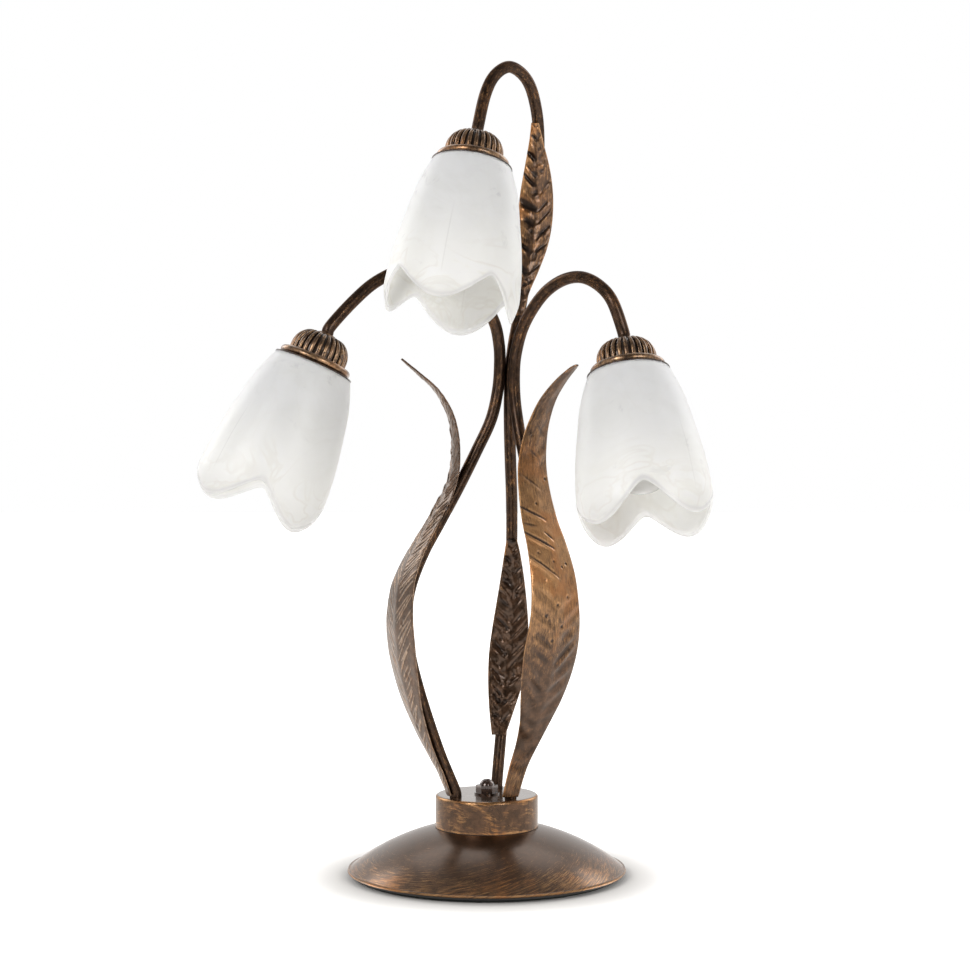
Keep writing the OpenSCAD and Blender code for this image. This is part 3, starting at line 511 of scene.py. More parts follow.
def bulb_glass():
    paint, w, skin = new_material("opal_bulb_glass")
    cloud = w.noise(object_place(w), 60.0, 2.0)
    tone = w.blend(w.ramp(cloud, 0.3, 0.7), (0.86, 0.86, 0.84, 1), (0.82, 0.82, 0.8, 1))
    w.dress(skin, Base_Color=tone, Roughness=w.ramp(cloud, 0.3, 0.7, 0.12, 0.2),
            Subsurface_Weight=0.4, Subsurface_Radius=(0.006, 0.006, 0.006), Subsurface_Scale=1.0)
    return paint


def plain_metal(name, colour, shade, roughness, grain=500.0, metal=1.0):
    """Machined, plated or cast metal: two tones in a fine grain."""
    paint, w, skin = new_material(name)
    place = object_place(w)
    grain_mark = w.noise(place, grain, 4.0, 0.6)
    stain = w.noise(place, 45.0, 3.0, 0.5, 0.6)
    tone = w.blend(w.ramp(stain, 0.35, 0.7), colour + (1,), shade + (1,))
    w.dress(skin, Base_Color=tone, Metallic=metal,
            Roughness=w.ramp(grain_mark, 0.3, 0.7, roughness - 0.06, roughness + 0.08),
            Normal=bump(w, grain_mark, 0.15, 0.0001))
    return paint


def moulded_plastic(name, colour, shade, roughness=0.42):
    """Plastic, rubber or enamel: two close tones with a fine pebbled skin."""
    paint, w, skin = new_material(name)
    place = object_place(w)
    pebble = w.noise(place, 1400.0, 2.0, 0.5)
    flow = w.noise(place, 30.0, 2.0, 0.5, 0.5)
    w.dress(skin, Base_Color=w.blend(w.ramp(flow, 0.35, 0.7), colour + (1,), shade + (1,)),
            Roughness=w.ramp(pebble, 0.3, 0.7, roughness - 0.05, roughness + 0.08),
            Normal=bump(w, pebble, 0.12, 0.00008))
    return paint


def felt():
    paint, w, skin = new_material("dark_felt")
    place = object_place(w)
    fibre = w.noise(w.vector("MULTIPLY", place, (900.0, 900.0, 300.0)), 1.0, 6.0, 0.7, 1.5)
    tone = w.blend(w.ramp(fibre, 0.3, 0.7), (0.012, 0.014, 0.012, 1), (0.04, 0.045, 0.04, 1))
    w.dress(skin, Base_Color=tone, Roughness=0.95, Sheen_Weight=0.4,
            Normal=bump(w, fibre, 0.6, 0.0004))
    return paint


PAINTS = {
    "dish_paint": dish_paint(),
    "drum_paint": drum_paint(),
    "stem_paint": stem_paint(),
    "leaf_paint": leaf_paint(),
    "cap_paint": cap_paint(),
    "nut_paint": nut_paint(),
    "felt": felt(),
    "cast_weight": plain_metal("cast_iron", (0.06, 0.06, 0.062), (0.03, 0.03, 0.032), 0.62,
                               260.0, 0.6),
    # Black paint for the bottom plate: painted shade under the rim
    "plate_painted_shade": moulded_plastic("black_plate_painted_shade", (0.012, 0.011, 0.01),
                                    (0.02, 0.018, 0.016), 0.4),
    "zinc_steel": plain_metal("zinc_plated_steel", (0.56, 0.57, 0.58), (0.46, 0.46, 0.45), 0.32),
    "brass": plain_metal("turned_brass", (0.64, 0.45, 0.18), (0.5, 0.33, 0.12), 0.3),
    "holder_plastic": moulded_plastic("black_thermoset", (0.018, 0.018, 0.019),
                                      (0.026, 0.026, 0.027)),
    "terminal_plastic": moulded_plastic("cream_terminal", (0.62, 0.58, 0.5), (0.56, 0.52, 0.44)),
    "bush_plastic": moulded_plastic("black_bush", (0.015, 0.015, 0.016),
                                    (0.022, 0.022, 0.023), 0.5),
    "gasket": moulded_plastic("black_gasket", (0.03, 0.03, 0.03), (0.045, 0.044, 0.042), 0.75),
    "shade_glass": shade_glass(),
    "bulb_glass": bulb_glass(),
    "bulb_base": plain_metal("bulb_base_aluminium", (0.68, 0.68, 0.67), (0.58, 0.58, 0.57), 0.28),
}


# ---------------- making meshes

def smooth_line(stations, steps):
    """Smooth curve through the stations, with the same rule as the solid model's."""
    p = np.array(stations, float)
    last = len(p) - 1
    rows = []
    for i in range(last):
        a, b, c, d = p[max(i - 1, 0)], p[i], p[i + 1], p[min(i + 2, last)]
        for t in np.arange(steps) / steps:
            rows.append(0.5 * (2 * b + (c - a) * t + (2 * a - 5 * b + 4 * c - d) * t * t
                               + (3 * b - a - 3 * c + d) * t ** 3))
    rows.append(p[last])
    return np.array(rows)


def over_drum(rows):
    """Stations in metres over the table, from millimetres over the drum's top."""
    out = np.array(rows, float)[:, :3] * MM
    out[:, 2] += DRUM_TOP * MM
    return out


def arm_matrix(arm):
    """From an arm's own frame, with +Z up its axis, to the lamp's."""
    return (Matrix.Translation(Vector(arm["seat"]) * MM)
            @ Matrix.Rotation(math.radians(arm["turn"]), 4, "Z")
            @ Matrix.Rotation(math.radians(-arm["tilt"]), 4, "Y"))


def moved(points, matrix):
    turn = np.array(matrix.to_3x3())
    return np.asarray(points) @ turn.T + np.array(matrix.translation)


def facing_out(points, faces):
    """The faces, all turned over if they enclose a negative volume."""
    volume = 0.0
    for face in faces:
        a = points[face[0]]
        for k in range(1, len(face) - 1):
            volume += np.dot(a, np.cross(points[face[k]], points[face[k + 1]]))
    return faces if volume > 0 else [tuple(reversed(face)) for face in faces]


def ring_faces(rings, sides, closed=False):
    """Quads between successive rings of points; closed joins the last ring to the first."""
    faces = []
    for i in range(rings if closed else rings - 1):
        for k in range(sides):
            a, b = i * sides + k, i * sides + (k + 1) % sides
            c = ((i + 1) % rings) * sides
            faces.append((a, b, c + (k + 1) % sides, c + k))
    return faces


def new_mesh_object(name, points, edges, faces):
    mesh = bpy.data.meshes.new(name)
    mesh.from_pydata([tuple(p) for p in points], edges, faces)
    mesh.update()
    piece = bpy.data.objects.new(name, mesh)
    bpy.context.scene.collection.objects.link(piece)
    return piece


def set_marks(mesh, marks):
    """Stores numbers or vectors on the mesh's points, under the names that the paints read."""
    for name, values in marks.items():
        values = np.asarray(values, np.float32)
        form, key = ("FLOAT", "value") if values.ndim == 1 else ("FLOAT_VECTOR", "vector")
        mesh.attributes.new(name, form, "POINT").data.foreach_set(key, values.ravel())


def make_piece(name, points, faces, slot, node, marks):
    """A smooth piece in its place, which stands for a CAD node."""
    piece = new_mesh_object(name, points, [], facing_out(points, faces))
    set_marks(piece.data, marks)
    settle(piece, slot, node)


def settle(piece, slot, node):
    """Paints the piece, has it ride on the lamp's body and hides the CAD node it stands for."""
    piece.data.shade_smooth()
    piece.data.materials.clear()
    piece.data.materials.append(PAINTS[slot])
    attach(piece, "lamp")
    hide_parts(node)


def grow(piece, tree, **values):
    """Runs a Geometry Nodes tree on the piece and keeps the result as its plain mesh."""
    modifier = piece.modifiers.new(tree.name, "NODES")
    modifier.node_group = tree
    keys = {item.name: item.identifier for item in tree.interface.items_tree
            if item.in_out == "INPUT"}
    for name, value in values.items():
        modifier[keys[name.replace("_", " ")]] = value
    bpy.context.view_layer.update()
    grown = piece.evaluated_get(bpy.context.evaluated_depsgraph_get())
    mesh = bpy.data.meshes.new_from_object(grown)
    piece.modifiers.clear()
    piece.data = mesh


# ---------------- stems

def tube_tree():
    """Tube along a line, closed at both ends, with its length and ring marked for the paint."""
    tree, w, takes, out = new_group(
        "bent_tube",
        [("Geometry", "geometry", None), ("Radius", "value", 0.004), ("Sides", "count", 28),
         ("Paint", "paint", None)],
        [("Geometry", "geometry", None)], "GeometryNodeTree")
    line = w.shape("MeshToCurve", Mesh=takes["Geometry"])
    length = w.add("GeometryNodeSplineParameter").outputs["Length"]
    line = w.shape("StoreNamedAttribute", Geometry=line, Name="along", Value=length)
    circle = w.shape("CurvePrimitiveCircle", Resolution=takes["Sides"], Radius=takes["Radius"])
    circle = w.add("GeometryNodeStoreNamedAttribute", {"Geometry": circle, "Name": "ring"},
                   data_type="FLOAT_VECTOR")
    value = next(s for s in circle.inputs if s.name == "Value" and s.enabled)
    w.feed(value, w.vector("NORMALIZE", w.shape("InputPosition")))
    tube = w.shape("CurveToMesh", Curve=line, Profile_Curve=circle.outputs[0], Fill_Caps=True)
    tube = w.shape("RealizeInstances", Geometry=tube)
    finish_group(w, out, Geometry=w.shape("SetMaterial", Geometry=tube, Material=takes["Paint"]))
    return tree


STEM_RADIUS = 4 * MM
STEM_SIDES = 28
STEM_STEPS = 8
NECK_TOP = 23.2
TUBE_END = 10


def make_stems():
    tree = tube_tree()
    for arm_name, stations in STEMS.items():
        arm = arm_matrix(ARMS[arm_name])
        ends = [arm @ Vector((0, 0, h * MM)) for h in (NECK_TOP + 6, NECK_TOP - 1, TUBE_END)]
        line = smooth_line(np.vstack([over_drum(stations), np.array(ends)]), STEM_STEPS)
        edges = [(i, i + 1) for i in range(len(line) - 1)]
        node = STEM_NODES[arm_name]
        stem = new_mesh_object(node + "_tube", line, edges, [])
        grow(stem, tree, Radius=STEM_RADIUS, Sides=STEM_SIDES, Paint=PAINTS["stem_paint"])
        settle(stem, "stem_paint", node)


# ---------------- leaves

LEAF_SHEET = 1.2
LONG_CREASE = 0.14
SMALL_CREASE = 0.2
CREASE_ROUNDING = 0.01
# Marks fade out over these lengths, in mm, towards a leaf's ends and its edges
FADE_AT_ENDS = 6
FADE_AT_EDGES = 1.2
# Width of the rubbed edge, in mm, and how sharply the sheet's edge is rounded
RUBBED_EDGE = 0.9
EDGE_POWER = 18


def stroke(u, x, start, end, width, depth, lip, bow=0.0):
    """Height, in mm, of one chisel stroke from start to end, each (along, across) in mm.

    The groove has a raised lip on its lower side, and bow bends its middle along the leaf.
    """
    du, dx = end[0] - start[0], end[1] - start[1]
    length = math.hypot(du, dx)
    along = ((u - start[0]) * du + (x - start[1]) * dx) / length
    share = np.clip(along / length, 0, 1)
    off = ((u - start[0]) * dx - (x - start[1]) * du) / length
    off = off * (1 if dx > 0 else -1) - bow * np.sin(math.pi * share)
    past = np.maximum(0, np.maximum(-along, along - length))
    body = np.exp(-(past / width) ** 2) * (0.35 + 0.65 * np.sin(math.pi * (0.12 + 0.76 * share)))
    groove = np.exp(-np.abs(off / width) ** 2.2)
    ridge = np.exp(-((off + 1.7 * width) / width) ** 2)
    return depth * body * (lip * ridge - groove)


def herringbone(u, x, half, spacing, slope, width, depth, lip, seed, force=None):
    """Height, in mm, of rows of strokes that rise from the middle line to both edges."""
    random = np.random.default_rng(seed)
    height = np.zeros_like(u)
    reach = u[:, 0]
    for side in (-1, 1):
        foot = random.uniform(0, spacing)
        while foot < reach[-1]:
            wide = half[np.argmin(np.abs(reach - foot)), 0]
            inner = wide * random.uniform(0.04, 0.3)
            outer = wide * random.uniform(0.6, 0.95)
            rise = slope * random.uniform(0.8, 1.25)
            press = random.uniform(0.5, 1.0)
            if force is not None:
                press *= force(foot / reach[-1], side)
            size = width * random.uniform(0.75, 1.3)
            if press > 0.06 and outer - inner > 1.5:
                height += stroke(u, x, (foot + inner * rise, side * inner),
                                 (foot + outer * rise, side * outer),
                                 size, depth * press, lip, random.uniform(-0.6, 0.6))
            foot += spacing * random.uniform(0.7, 1.3)
    return height


def pits(u, x, half, count, radius, depth, seed):
    """Height, in mm, of round dents with a faint raised ring."""
    random = np.random.default_rng(seed)
    height = np.zeros_like(u)
    for _ in range(count):
        cu = random.uniform(0.05, 0.95) * u.max()
        row = np.argmin(np.abs(u[:, 0] - cu))
        cx = random.uniform(-0.8, 0.8) * half[row, 0]
        size = radius * random.uniform(0.6, 1.3)
        away = ((u - cu) ** 2 / 1.5 + (x - cx) ** 2) / size ** 2
        press = depth * random.uniform(0.4, 1.0)
        height += press * (0.3 * np.exp(-(np.sqrt(away) - 1.7) ** 2 * 3) - np.exp(-away))
    return height


def hammered(u, x, seed, scale, amount):
    """Soft unevenness of the beaten sheet, in mm."""
    height = np.zeros_like(u)
    for i in range(u.shape[0]):
        for j in range(u.shape[1]):
            height[i, j] = noise.noise(Vector((u[i, j] / scale, x[i, j] / scale, seed)))
    return amount * height


def make_leaf(name, steps, columns, crease, form, painted_sheen=0.0):
    """Creased sheet leaf whose chisel strokes and dents go through the sheet to its back.

    form(u, x, half, at) gives the marks' height in mm, their relief from -1 to 1 and the gilding,
    from the places along and across the leaf and its half width there, all in mm. at(rise) is the
    place along for a height over the drum.
    """
    rows = smooth_line(LEAVES[name], steps)
    line = over_drum(rows)
    half = rows[:, 3]
    facing = np.radians(rows[:, 4])
    travel = np.gradient(line, axis=0)
    travel /= np.linalg.norm(travel, axis=1)[:, None]
    across = np.stack([-np.sin(facing), np.cos(facing), 0 * facing], 1)
    out = np.cross(across, travel)
    out /= np.linalg.norm(out, axis=1)[:, None]
    even = np.linspace(-1, 1, columns)
    columns_at = 0.65 * even + 0.35 * np.sin(even * math.pi / 2)
    along = np.concatenate([[0], np.cumsum(np.linalg.norm(np.diff(line, axis=0), axis=1))]) / MM
    u, share = np.meshgrid(along, columns_at, indexing="ij")
    wide = np.repeat(half[:, None], columns, 1)
    x = share * wide
    height, relief, gilding = form(u, x, wide, lambda rise: np.interp(rise, rows[:, 2], along))
    from_edge = (1 - np.abs(share)) * wide
    height = height * np.clip(np.minimum(u, u.max() - u) / FADE_AT_ENDS, 0, 1)
    height = height * np.clip(from_edge / FADE_AT_EDGES, 0.15, 1)
    fold = crease * wide * np.sqrt(share * share + CREASE_ROUNDING)
    sheet = LEAF_SHEET * np.sqrt(np.clip(1 - np.abs(share) ** EDGE_POWER, 0.1, 1))
    middle = (line[:, None, :] + across[:, None, :] * (x * MM)[..., None]
              - out[:, None, :] * ((fold + LEAF_SHEET / 2 - height) * MM)[..., None])
    front = middle + out[:, None, :] * (sheet * MM / 2)[..., None]
    back = middle - out[:, None, :] * (sheet * MM / 2)[..., None]
    loop = np.concatenate([front, back[:, ::-1]], 1)
    count, sides = loop.shape[0], loop.shape[1]
    faces = ring_faces(count, sides)
    last = (count - 1) * sides
    for j in range(columns - 1):
        quad = (j, j + 1, sides - 2 - j, sides - 1 - j)
        faces.append(tuple(reversed(quad)))
        faces.append(tuple(last + corner for corner in quad))

    def both_sides(values):
        return np.concatenate([values, values[:, ::-1]], 1).ravel()

    edge = np.clip((RUBBED_EDGE - from_edge) / 0.7, 0, 1)
    place = np.stack([both_sides(u * MM), both_sides(x * MM), both_sides(0 * u)], 1)
    make_piece(name + "_sheet", loop.reshape(-1, 3), faces, "leaf_paint", name,
               {"leaf_place": place, "relief": both_sides(np.clip(relief, -1, 1)),
                "edge": both_sides(edge), "gilding": both_sides(gilding),
                # Amount of painted silvery sheen, the same all over the leaf
                "painted_sheen": both_sides(0 * u + painted_sheen)})


def bell_curve(value, centre, width):
    return np.exp(-((value - centre) / width) ** 2)


def left_leaf_form(u, x, half, at):
    """Fine raised herringbone, cut deep where the leaf turns over at its waist."""
    lines = -herringbone(u, x, half, spacing=4.6, slope=1.1, width=0.6, depth=0.36, lip=0.2,
                         seed=11, force=lambda place, side: 0.8 + 0.6 * bell_curve(place, 0.6, 0.14))
    deep = herringbone(u, x, half, spacing=6.0, slope=1.1, width=0.95, depth=1.1, lip=0.9, seed=12,
                       force=lambda place, side: (bell_curve(place, 0.64, 0.1)
                                                  + 0.35 * bell_curve(place, 0.85, 0.12)))
    curls = pits(u, x, half, count=34, radius=1.3, depth=0.3, seed=13)
    soft = hammered(u, x, seed=11, scale=9.0, amount=0.3)
    relief = lines / 0.12 + deep / 0.7 + curls / 0.5
    gilding = np.interp(u / u.max(), (0.5, 0.62, 0.72, 1.0), (-0.08, -0.15, -0.5, -0.5))
    return lines + deep + curls + soft, relief, gilding + 0.12 * soft


# Gouges and dents of the right leaf: height over the drum's top and place across, in mm
RIGHT_GOUGES = [((198.9, -16.5), (188.8, 3.0), 0.8), ((181.5, -16.0), (169.8, 3.0), 1.0),
                ((166.4, -17.5), (150.7, 2.5), 0.7), ((187.2, -14.5), (185.0, -6.0), 0.6),
                ((180.5, -1.0), (176.0, 4.5), 0.8), ((236.5, -6.0), (228.0, 5.0), 0.35),
                ((219.0, -10.0), (209.0, 4.0), 0.4), ((252.0, -3.0), (245.0, 6.0), 0.3)]
RIGHT_DENTS = [(215.7, 9.5), (199.4, -2.0), (167.7, -10.0), (161.4, 0.5), (157.6, 7.5),
               (159.6, 12.0), (137.4, 9.4), (126.0, -9.0), (132.7, 0.0), (118.0, 4.0),
               (109.0, -3.0)]


def right_leaf_form(u, x, half, at):
    """Brushed face with long gouges on its inner side above, and soft ridges below."""
    share = u / u.max()
    soft = herringbone(u, x, half, spacing=11.0, slope=0.8, width=2.6, depth=1.1, lip=0.8, seed=23,
                       force=lambda place, side: (bell_curve(place, 0.28, 0.16)
                                                  + 0.3 * bell_curve(place, 0.8, 0.1)))
    cut = np.zeros_like(u)
    for (high, outer), (low, inner), press in RIGHT_GOUGES:
        cut += stroke(u, x, (at(low), inner), (at(high), outer), 1.15, press, 0.8)
    for rise, across in RIGHT_DENTS:
        away = ((u - at(rise)) ** 2 + (x - across) ** 2) / 1.3 ** 2
        cut += 0.25 * np.exp(-(np.sqrt(away) - 1.6) ** 2 * 3) - 0.6 * np.exp(-away)
    cut += pits(u, x, half, count=16, radius=0.9, depth=0.35, seed=24)
    uneven = hammered(u, x, seed=23, scale=10.0, amount=0.45)
    gilding = np.interp(share, (0.05, 0.12, 0.25, 0.35, 0.46, 0.6, 0.7, 0.8, 0.93, 1.0),
                        (0.3, -0.2, -0.16, 0.18, 0.68, 0.78, 0.58, 0.32, -0.02, -0.25))
    # Less gold towards the right edge: a painted darker reflection on the side that faces right
    gilding = gilding - 0.16 * np.clip(x / half, 0, 1) + 0.25 * uneven
    return cut + soft + uneven, cut / 0.75 + soft / 1.4, gilding


def small_leaf_form(seed, gilded_edge, base_gold):
    """Beaten leaf with deep slanting dents on one side and shallow veins on the other."""
    def form(u, x, half, at):
        veins = herringbone(u, x, half, spacing=15.0, slope=0.8, width=1.9, depth=1.6, lip=0.8,
                            seed=seed, force=lambda place, side: 1.0 if side < 0 else 0.4)
        veins += herringbone(u, x, half, spacing=11.0, slope=1.1, width=1.0, depth=0.7, lip=0.8,
                             seed=seed + 2)
        dents = pits(u, x, half, count=26, radius=1.5, depth=0.8, seed=seed + 1)
        uneven = hammered(u, x, seed=seed, scale=6.5, amount=0.7)
        cut = veins + dents
        gold = base_gold + gilded_edge * np.clip(-x / half - 0.35, 0, 1) + 0.15 * uneven
        gold = gold + 0.35 * np.clip((u / u.max() - 0.86) / 0.1, 0, 1)
        return cut + uneven, np.where(cut > 0, cut / 1.7, cut), gold
    return form


def make_leaves():
    # The left leaf gets a painted silvery sheen of the light falling on it from the left
    make_leaf("left_long_leaf", 26, 79, LONG_CREASE, left_leaf_form, painted_sheen=0.6)
    make_leaf("right_long_leaf", 22, 57, LONG_CREASE, right_leaf_form)
    make_leaf("centre_small_leaf", 26, 45, SMALL_CREASE,
              small_leaf_form(seed=37, gilded_edge=0.45, base_gold=-0.34))
    make_leaf("top_small_leaf", 26, 45, SMALL_CREASE,
              small_leaf_form(seed=41, gilded_edge=1.2, base_gold=0.14))


# ---------------- fluted caps

def arc(centre, radius, start_deg, end_deg, steps):
    angles = np.radians(np.linspace(start_deg, end_deg, steps))
    return [(centre[0] + radius * math.cos(a), centre[1] + radius * math.sin(a)) for a in angles]


# Cap, in mm: thin brim, bead, bell with a round shoulder, and the neck round the tube
BRIM_R = 26.75
BRIM_T = 0.7
BRIM_EDGE_R = 0.35
BEAD_R = 2.6
BEAD_OUT = 24.25
BELL_R = 17.5
BELL_FOOT = BRIM_T + 2 * BEAD_R
SHOULDER_R = 13
SHOULDER_Z = 9.4
NECK_R = 6
NECK_EDGE_R = 0.6
CAP_WALL = 1.3
FLANGE_BORE_R = 20.5
TUBE_BORE_R = 4.3


def cap_outline():
    """Closed half outline of a cap in mm: down the outside, back up the inside."""
    shoulder = (BELL_R - SHOULDER_R, SHOULDER_Z)
    neck = [(TUBE_BORE_R, NECK_TOP), (5.2, NECK_TOP)]
    neck += arc((NECK_R - NECK_EDGE_R, NECK_TOP - NECK_EDGE_R), NECK_EDGE_R, 80, 0, 5)
    bell = arc(shoulder, SHOULDER_R, 83, 0, 30) + [(BELL_R, 8.2), (BELL_R, 7.0), (BELL_R, 6.2)]
    bead = [(BELL_R + 0.3, BELL_FOOT), (19.6, BELL_FOOT)]
    bead += arc((BEAD_OUT - BEAD_R, BRIM_T + BEAD_R), BEAD_R, 90, -90, 26)
    brim = [(22.6, BRIM_T), (25.6, BRIM_T)]
    brim += arc((BRIM_R - BRIM_EDGE_R, BRIM_EDGE_R), BRIM_EDGE_R, 90, -90, 7)
    inside = [(25.0, 0), (FLANGE_BORE_R, 0), (FLANGE_BORE_R, 4.2), (BELL_R - CAP_WALL, 4.4)]
    inside += arc(shoulder, SHOULDER_R - CAP_WALL, 0, 43.8, 8)
    inside += [(5.2, 17.5), (5.2, 22.2), (TUBE_BORE_R, 22.2)]
    return neck + bell + bead + brim + inside


CAP_SIDES = 208
RIB_COUNT = 26
RIB_HEIGHT = 0.95
RIB_FOOT = BELL_FOOT - 0.4
RIB_END_DEG = 75.4


def rib_tree():
    """Ribs of a fluted bell: one rib up its side and over its shoulder, set round the axis."""
    tree, w, takes, out = new_group(
        "bell_ribs",
        [("Geometry", "geometry", None), ("Count", "count", 26), ("Bell Radius", "value", 0.0175),
         ("Shoulder Radius", "value", 0.013), ("Shoulder Height", "value", 0.0094),
         ("Foot Height", "value", 0.0055), ("Rib Height", "value", 0.00095),
         ("Sink", "value", 0.0004), ("Top Angle", "value", 1.316), ("Fill", "value", 0.74),
         ("Paint", "paint", None)],
        [("Geometry", "geometry", None)], "GeometryNodeTree")
    block = w.shape("MeshCube", Size=(1, 1, 1), Vertices_X=30, Vertices_Y=11, Vertices_Z=3)
    x, y, z = w.split(w.shape("InputPosition"))
    share = w.plus(x, 0.5)
    straight = w.minus(takes["Shoulder Height"], takes["Foot Height"])
    bend = w.times(takes["Top Angle"], takes["Shoulder Radius"])
    travel = w.times(share, w.plus(straight, bend))
    climb = w.math("MINIMUM", travel, straight)
    angle = w.over(w.minus(travel, climb), takes["Shoulder Radius"])
    off_middle = w.math("POWER", w.math("ABSOLUTE", w.times(y, 2.0)), 2.2)
    round_off = w.math("SQRT", w.math("MAXIMUM", 0.0, w.minus(1.0, off_middle)))
    end_off = w.minus(1.0, w.math("POWER", share, 12.0))
    lift = w.times(w.plus(z, 0.5), w.times(round_off, end_off))
    reach = w.plus(w.minus(takes["Shoulder Radius"], takes["Sink"]),
                   w.times(lift, w.plus(takes["Rib Height"], takes["Sink"])))
    centre_out = w.minus(takes["Bell Radius"], takes["Shoulder Radius"])
    from_axis = w.times_plus(w.math("COSINE", angle), reach, centre_out)
    up = w.times_plus(w.math("SINE", angle), reach, w.plus(takes["Foot Height"], climb))
    pitch = w.over(w.times(takes["Fill"], 2 * math.pi), takes["Count"])
    sweep = w.times(y, pitch)
    spot = w.join(w.times(from_axis, w.math("COSINE", sweep)),
                  w.times(from_axis, w.math("SINE", sweep)), up)
    rib = w.shape("SetPosition", Geometry=block, Position=spot)
    rib = w.shape("StoreNamedAttribute", Geometry=rib, Name="relief",
                  Value=w.times_plus(lift, 1.9, -0.9))
    stands = w.shape("MeshCircle", Vertices=takes["Count"], Radius=0.001)
    stands = w.shape("SetPosition", Geometry=stands, Position=(0, 0, 0))
    turn = w.over(w.times(w.plus(w.shape("InputIndex"), 0.5), 2 * math.pi), takes["Count"])
    ribs = w.shape("InstanceOnPoints", Points=stands, Instance=rib, Rotation=w.join(0.0, 0.0, turn))
    both = w.add("GeometryNodeJoinGeometry")
    for part in (takes["Geometry"], ribs):
        w.tree.links.new(part, both.inputs[0])
    whole = w.shape("RealizeInstances", Geometry=both.outputs[0])
    finish_group(w, out, Geometry=w.shape("SetMaterial", Geometry=whole, Material=takes["Paint"]))
    return tree


def make_caps():
    """Turned caps with their ribs; relief marks the crests to rub and the hollows to darken with
    painted shade.
    """
    tree = rib_tree()
    r, z = np.repeat(np.array(cap_outline()), CAP_SIDES, 0).T
    turn = np.tile(np.arange(CAP_SIDES) * 2 * math.pi / CAP_SIDES, len(r) // CAP_SIDES)
    rings = np.stack([r * np.cos(turn), r * np.sin(turn), z], 1) * MM
    faces = facing_out(rings, ring_faces(len(r) // CAP_SIDES, CAP_SIDES, closed=True))
    bell = (z > BELL_FOOT - 0.2) & (r < BELL_R + 0.8) & (r > NECK_R + 1)
    crest = 0.36 * bell_curve(r, BEAD_OUT - 0.6, 1.3) * (z > 2.0)
    brim = (z < BRIM_T + 0.35) & (r > 21.5)
    # The bell under the ribs and the brim under the bead are marked for painted shade
    relief = np.where(bell, -0.9, np.where(brim, -0.55, crest))
    for name, arm in ARMS.items():
        cap = new_mesh_object(name + "_fluted_cap", rings, [], faces)
        set_marks(cap.data, {"relief": relief})
        grow(cap, tree, Count=RIB_COUNT, Rib_Height=RIB_HEIGHT * MM, Bell_Radius=BELL_R * MM,
             Shoulder_Radius=SHOULDER_R * MM, Shoulder_Height=SHOULDER_Z * MM,
             Foot_Height=RIB_FOOT * MM, Top_Angle=math.radians(RIB_END_DEG),
             Paint=PAINTS["cap_paint"])
        set_marks(cap.data, {"arm_place": [vertex.co for vertex in cap.data.vertices]})
        cap.data.transform(arm_matrix(arm))
        settle(cap, "cap_paint", name + "_cap")


# ---------------- tulip glasses

GLASS_LENGTH = 103
GLASS_WALL = 2.6
GLASS_THINNING = 0.9
GLASS_TOP = 3.6
GLASS_HOLE_R = 14.8
# Flat top from the hole to its rounded edge, and the inside of the top: radius and height, in mm
TOP_RINGS = [(GLASS_HOLE_R, 0.0), (22.0, 0.0), (25.4, 0.0), (26.3, -0.2)]
UNDER_TOP_RINGS = [(20.0, -GLASS_TOP), (GLASS_HOLE_R, -GLASS_TOP)]
TOP_EDGE_DROP = 0.4
NOTCH = 20
NOTCH_SOFTNESS = 0.03
LOBE = 1.25
GLASS_SIDES = 192
GLASS_ROWS = 64
# Outer radius, in mm, at shares of the glass's length
GLASS_RADII = [26.5, 29.9, 33.9, 37.3, 40.3, 42.2, 43.3, 43.5, 40.5]
GLASS_SHARES = [0, 0.08, 0.2, 0.36, 0.51, 0.64, 0.77, 0.88, 1]


def petal_edge(turn):
    """Height of the mouth's edge over the petal tips, at a turn from a notch's middle."""
    start = math.sqrt(NOTCH_SOFTNESS)
    reach = np.sqrt(np.sin(2 * turn) ** 2 + NOTCH_SOFTNESS) - start
    return NOTCH * (1 - reach / (math.sqrt(1 + NOTCH_SOFTNESS) - start))


def glass_points():
    """Rings of the closed wall in the glass's own frame, and their ways to the rim, all in mm."""
    profile = smooth_line(np.stack([GLASS_RADII, GLASS_SHARES], 1), 12)
    turn = np.arange(GLASS_SIDES) * 2 * math.pi / GLASS_SIDES
    from_notch = turn + math.pi / 2
    tip = GLASS_LENGTH - petal_edge(from_notch)
    share = np.linspace(0, 1, GLASS_ROWS)[1:]
    depth = share[:, None] * tip[None, :]
    drop = TOP_EDGE_DROP * (1 - share)
    radius = np.interp(depth / GLASS_LENGTH, profile[:, 1], profile[:, 0])
    lobe = LOBE * np.clip(depth / GLASS_LENGTH - 0.25, 0, 1) ** 1.3
    radius = radius - lobe * np.cos(4 * from_notch[None, :])
    wall = GLASS_WALL - GLASS_THINNING * np.clip((share - 0.85) / 0.15, 0, 1) ** 2
    rows, from_rim = [], []

    def ring(r, z, rim=GLASS_LENGTH):
        r = np.broadcast_to(r, turn.shape)
        z = np.broadcast_to(z, turn.shape)
        rows.append(np.stack([r * np.cos(turn), r * np.sin(turn), z], 1))
        from_rim.append(np.broadcast_to(rim, turn.shape))

    for r, z in TOP_RINGS:
        ring(r, z)
    for i in range(len(share)):
        ring(radius[i], -depth[i] - drop[i], tip - depth[i])
    for angle in np.radians([30, 60, 90, 120, 150]):
        ring(radius[-1] - wall[-1] / 2 * (1 - math.cos(angle)),
             -depth[-1] - wall[-1] / 2 * math.sin(angle), 0.0)
    for i in reversed(range(len(share))):
        ring(radius[i] - wall[i], np.minimum(-depth[i] - drop[i], -GLASS_TOP), tip - depth[i])
    for r, z in UNDER_TOP_RINGS:
        ring(r, z)
    return np.array(rows).reshape(-1, 3), np.array(from_rim).ravel()


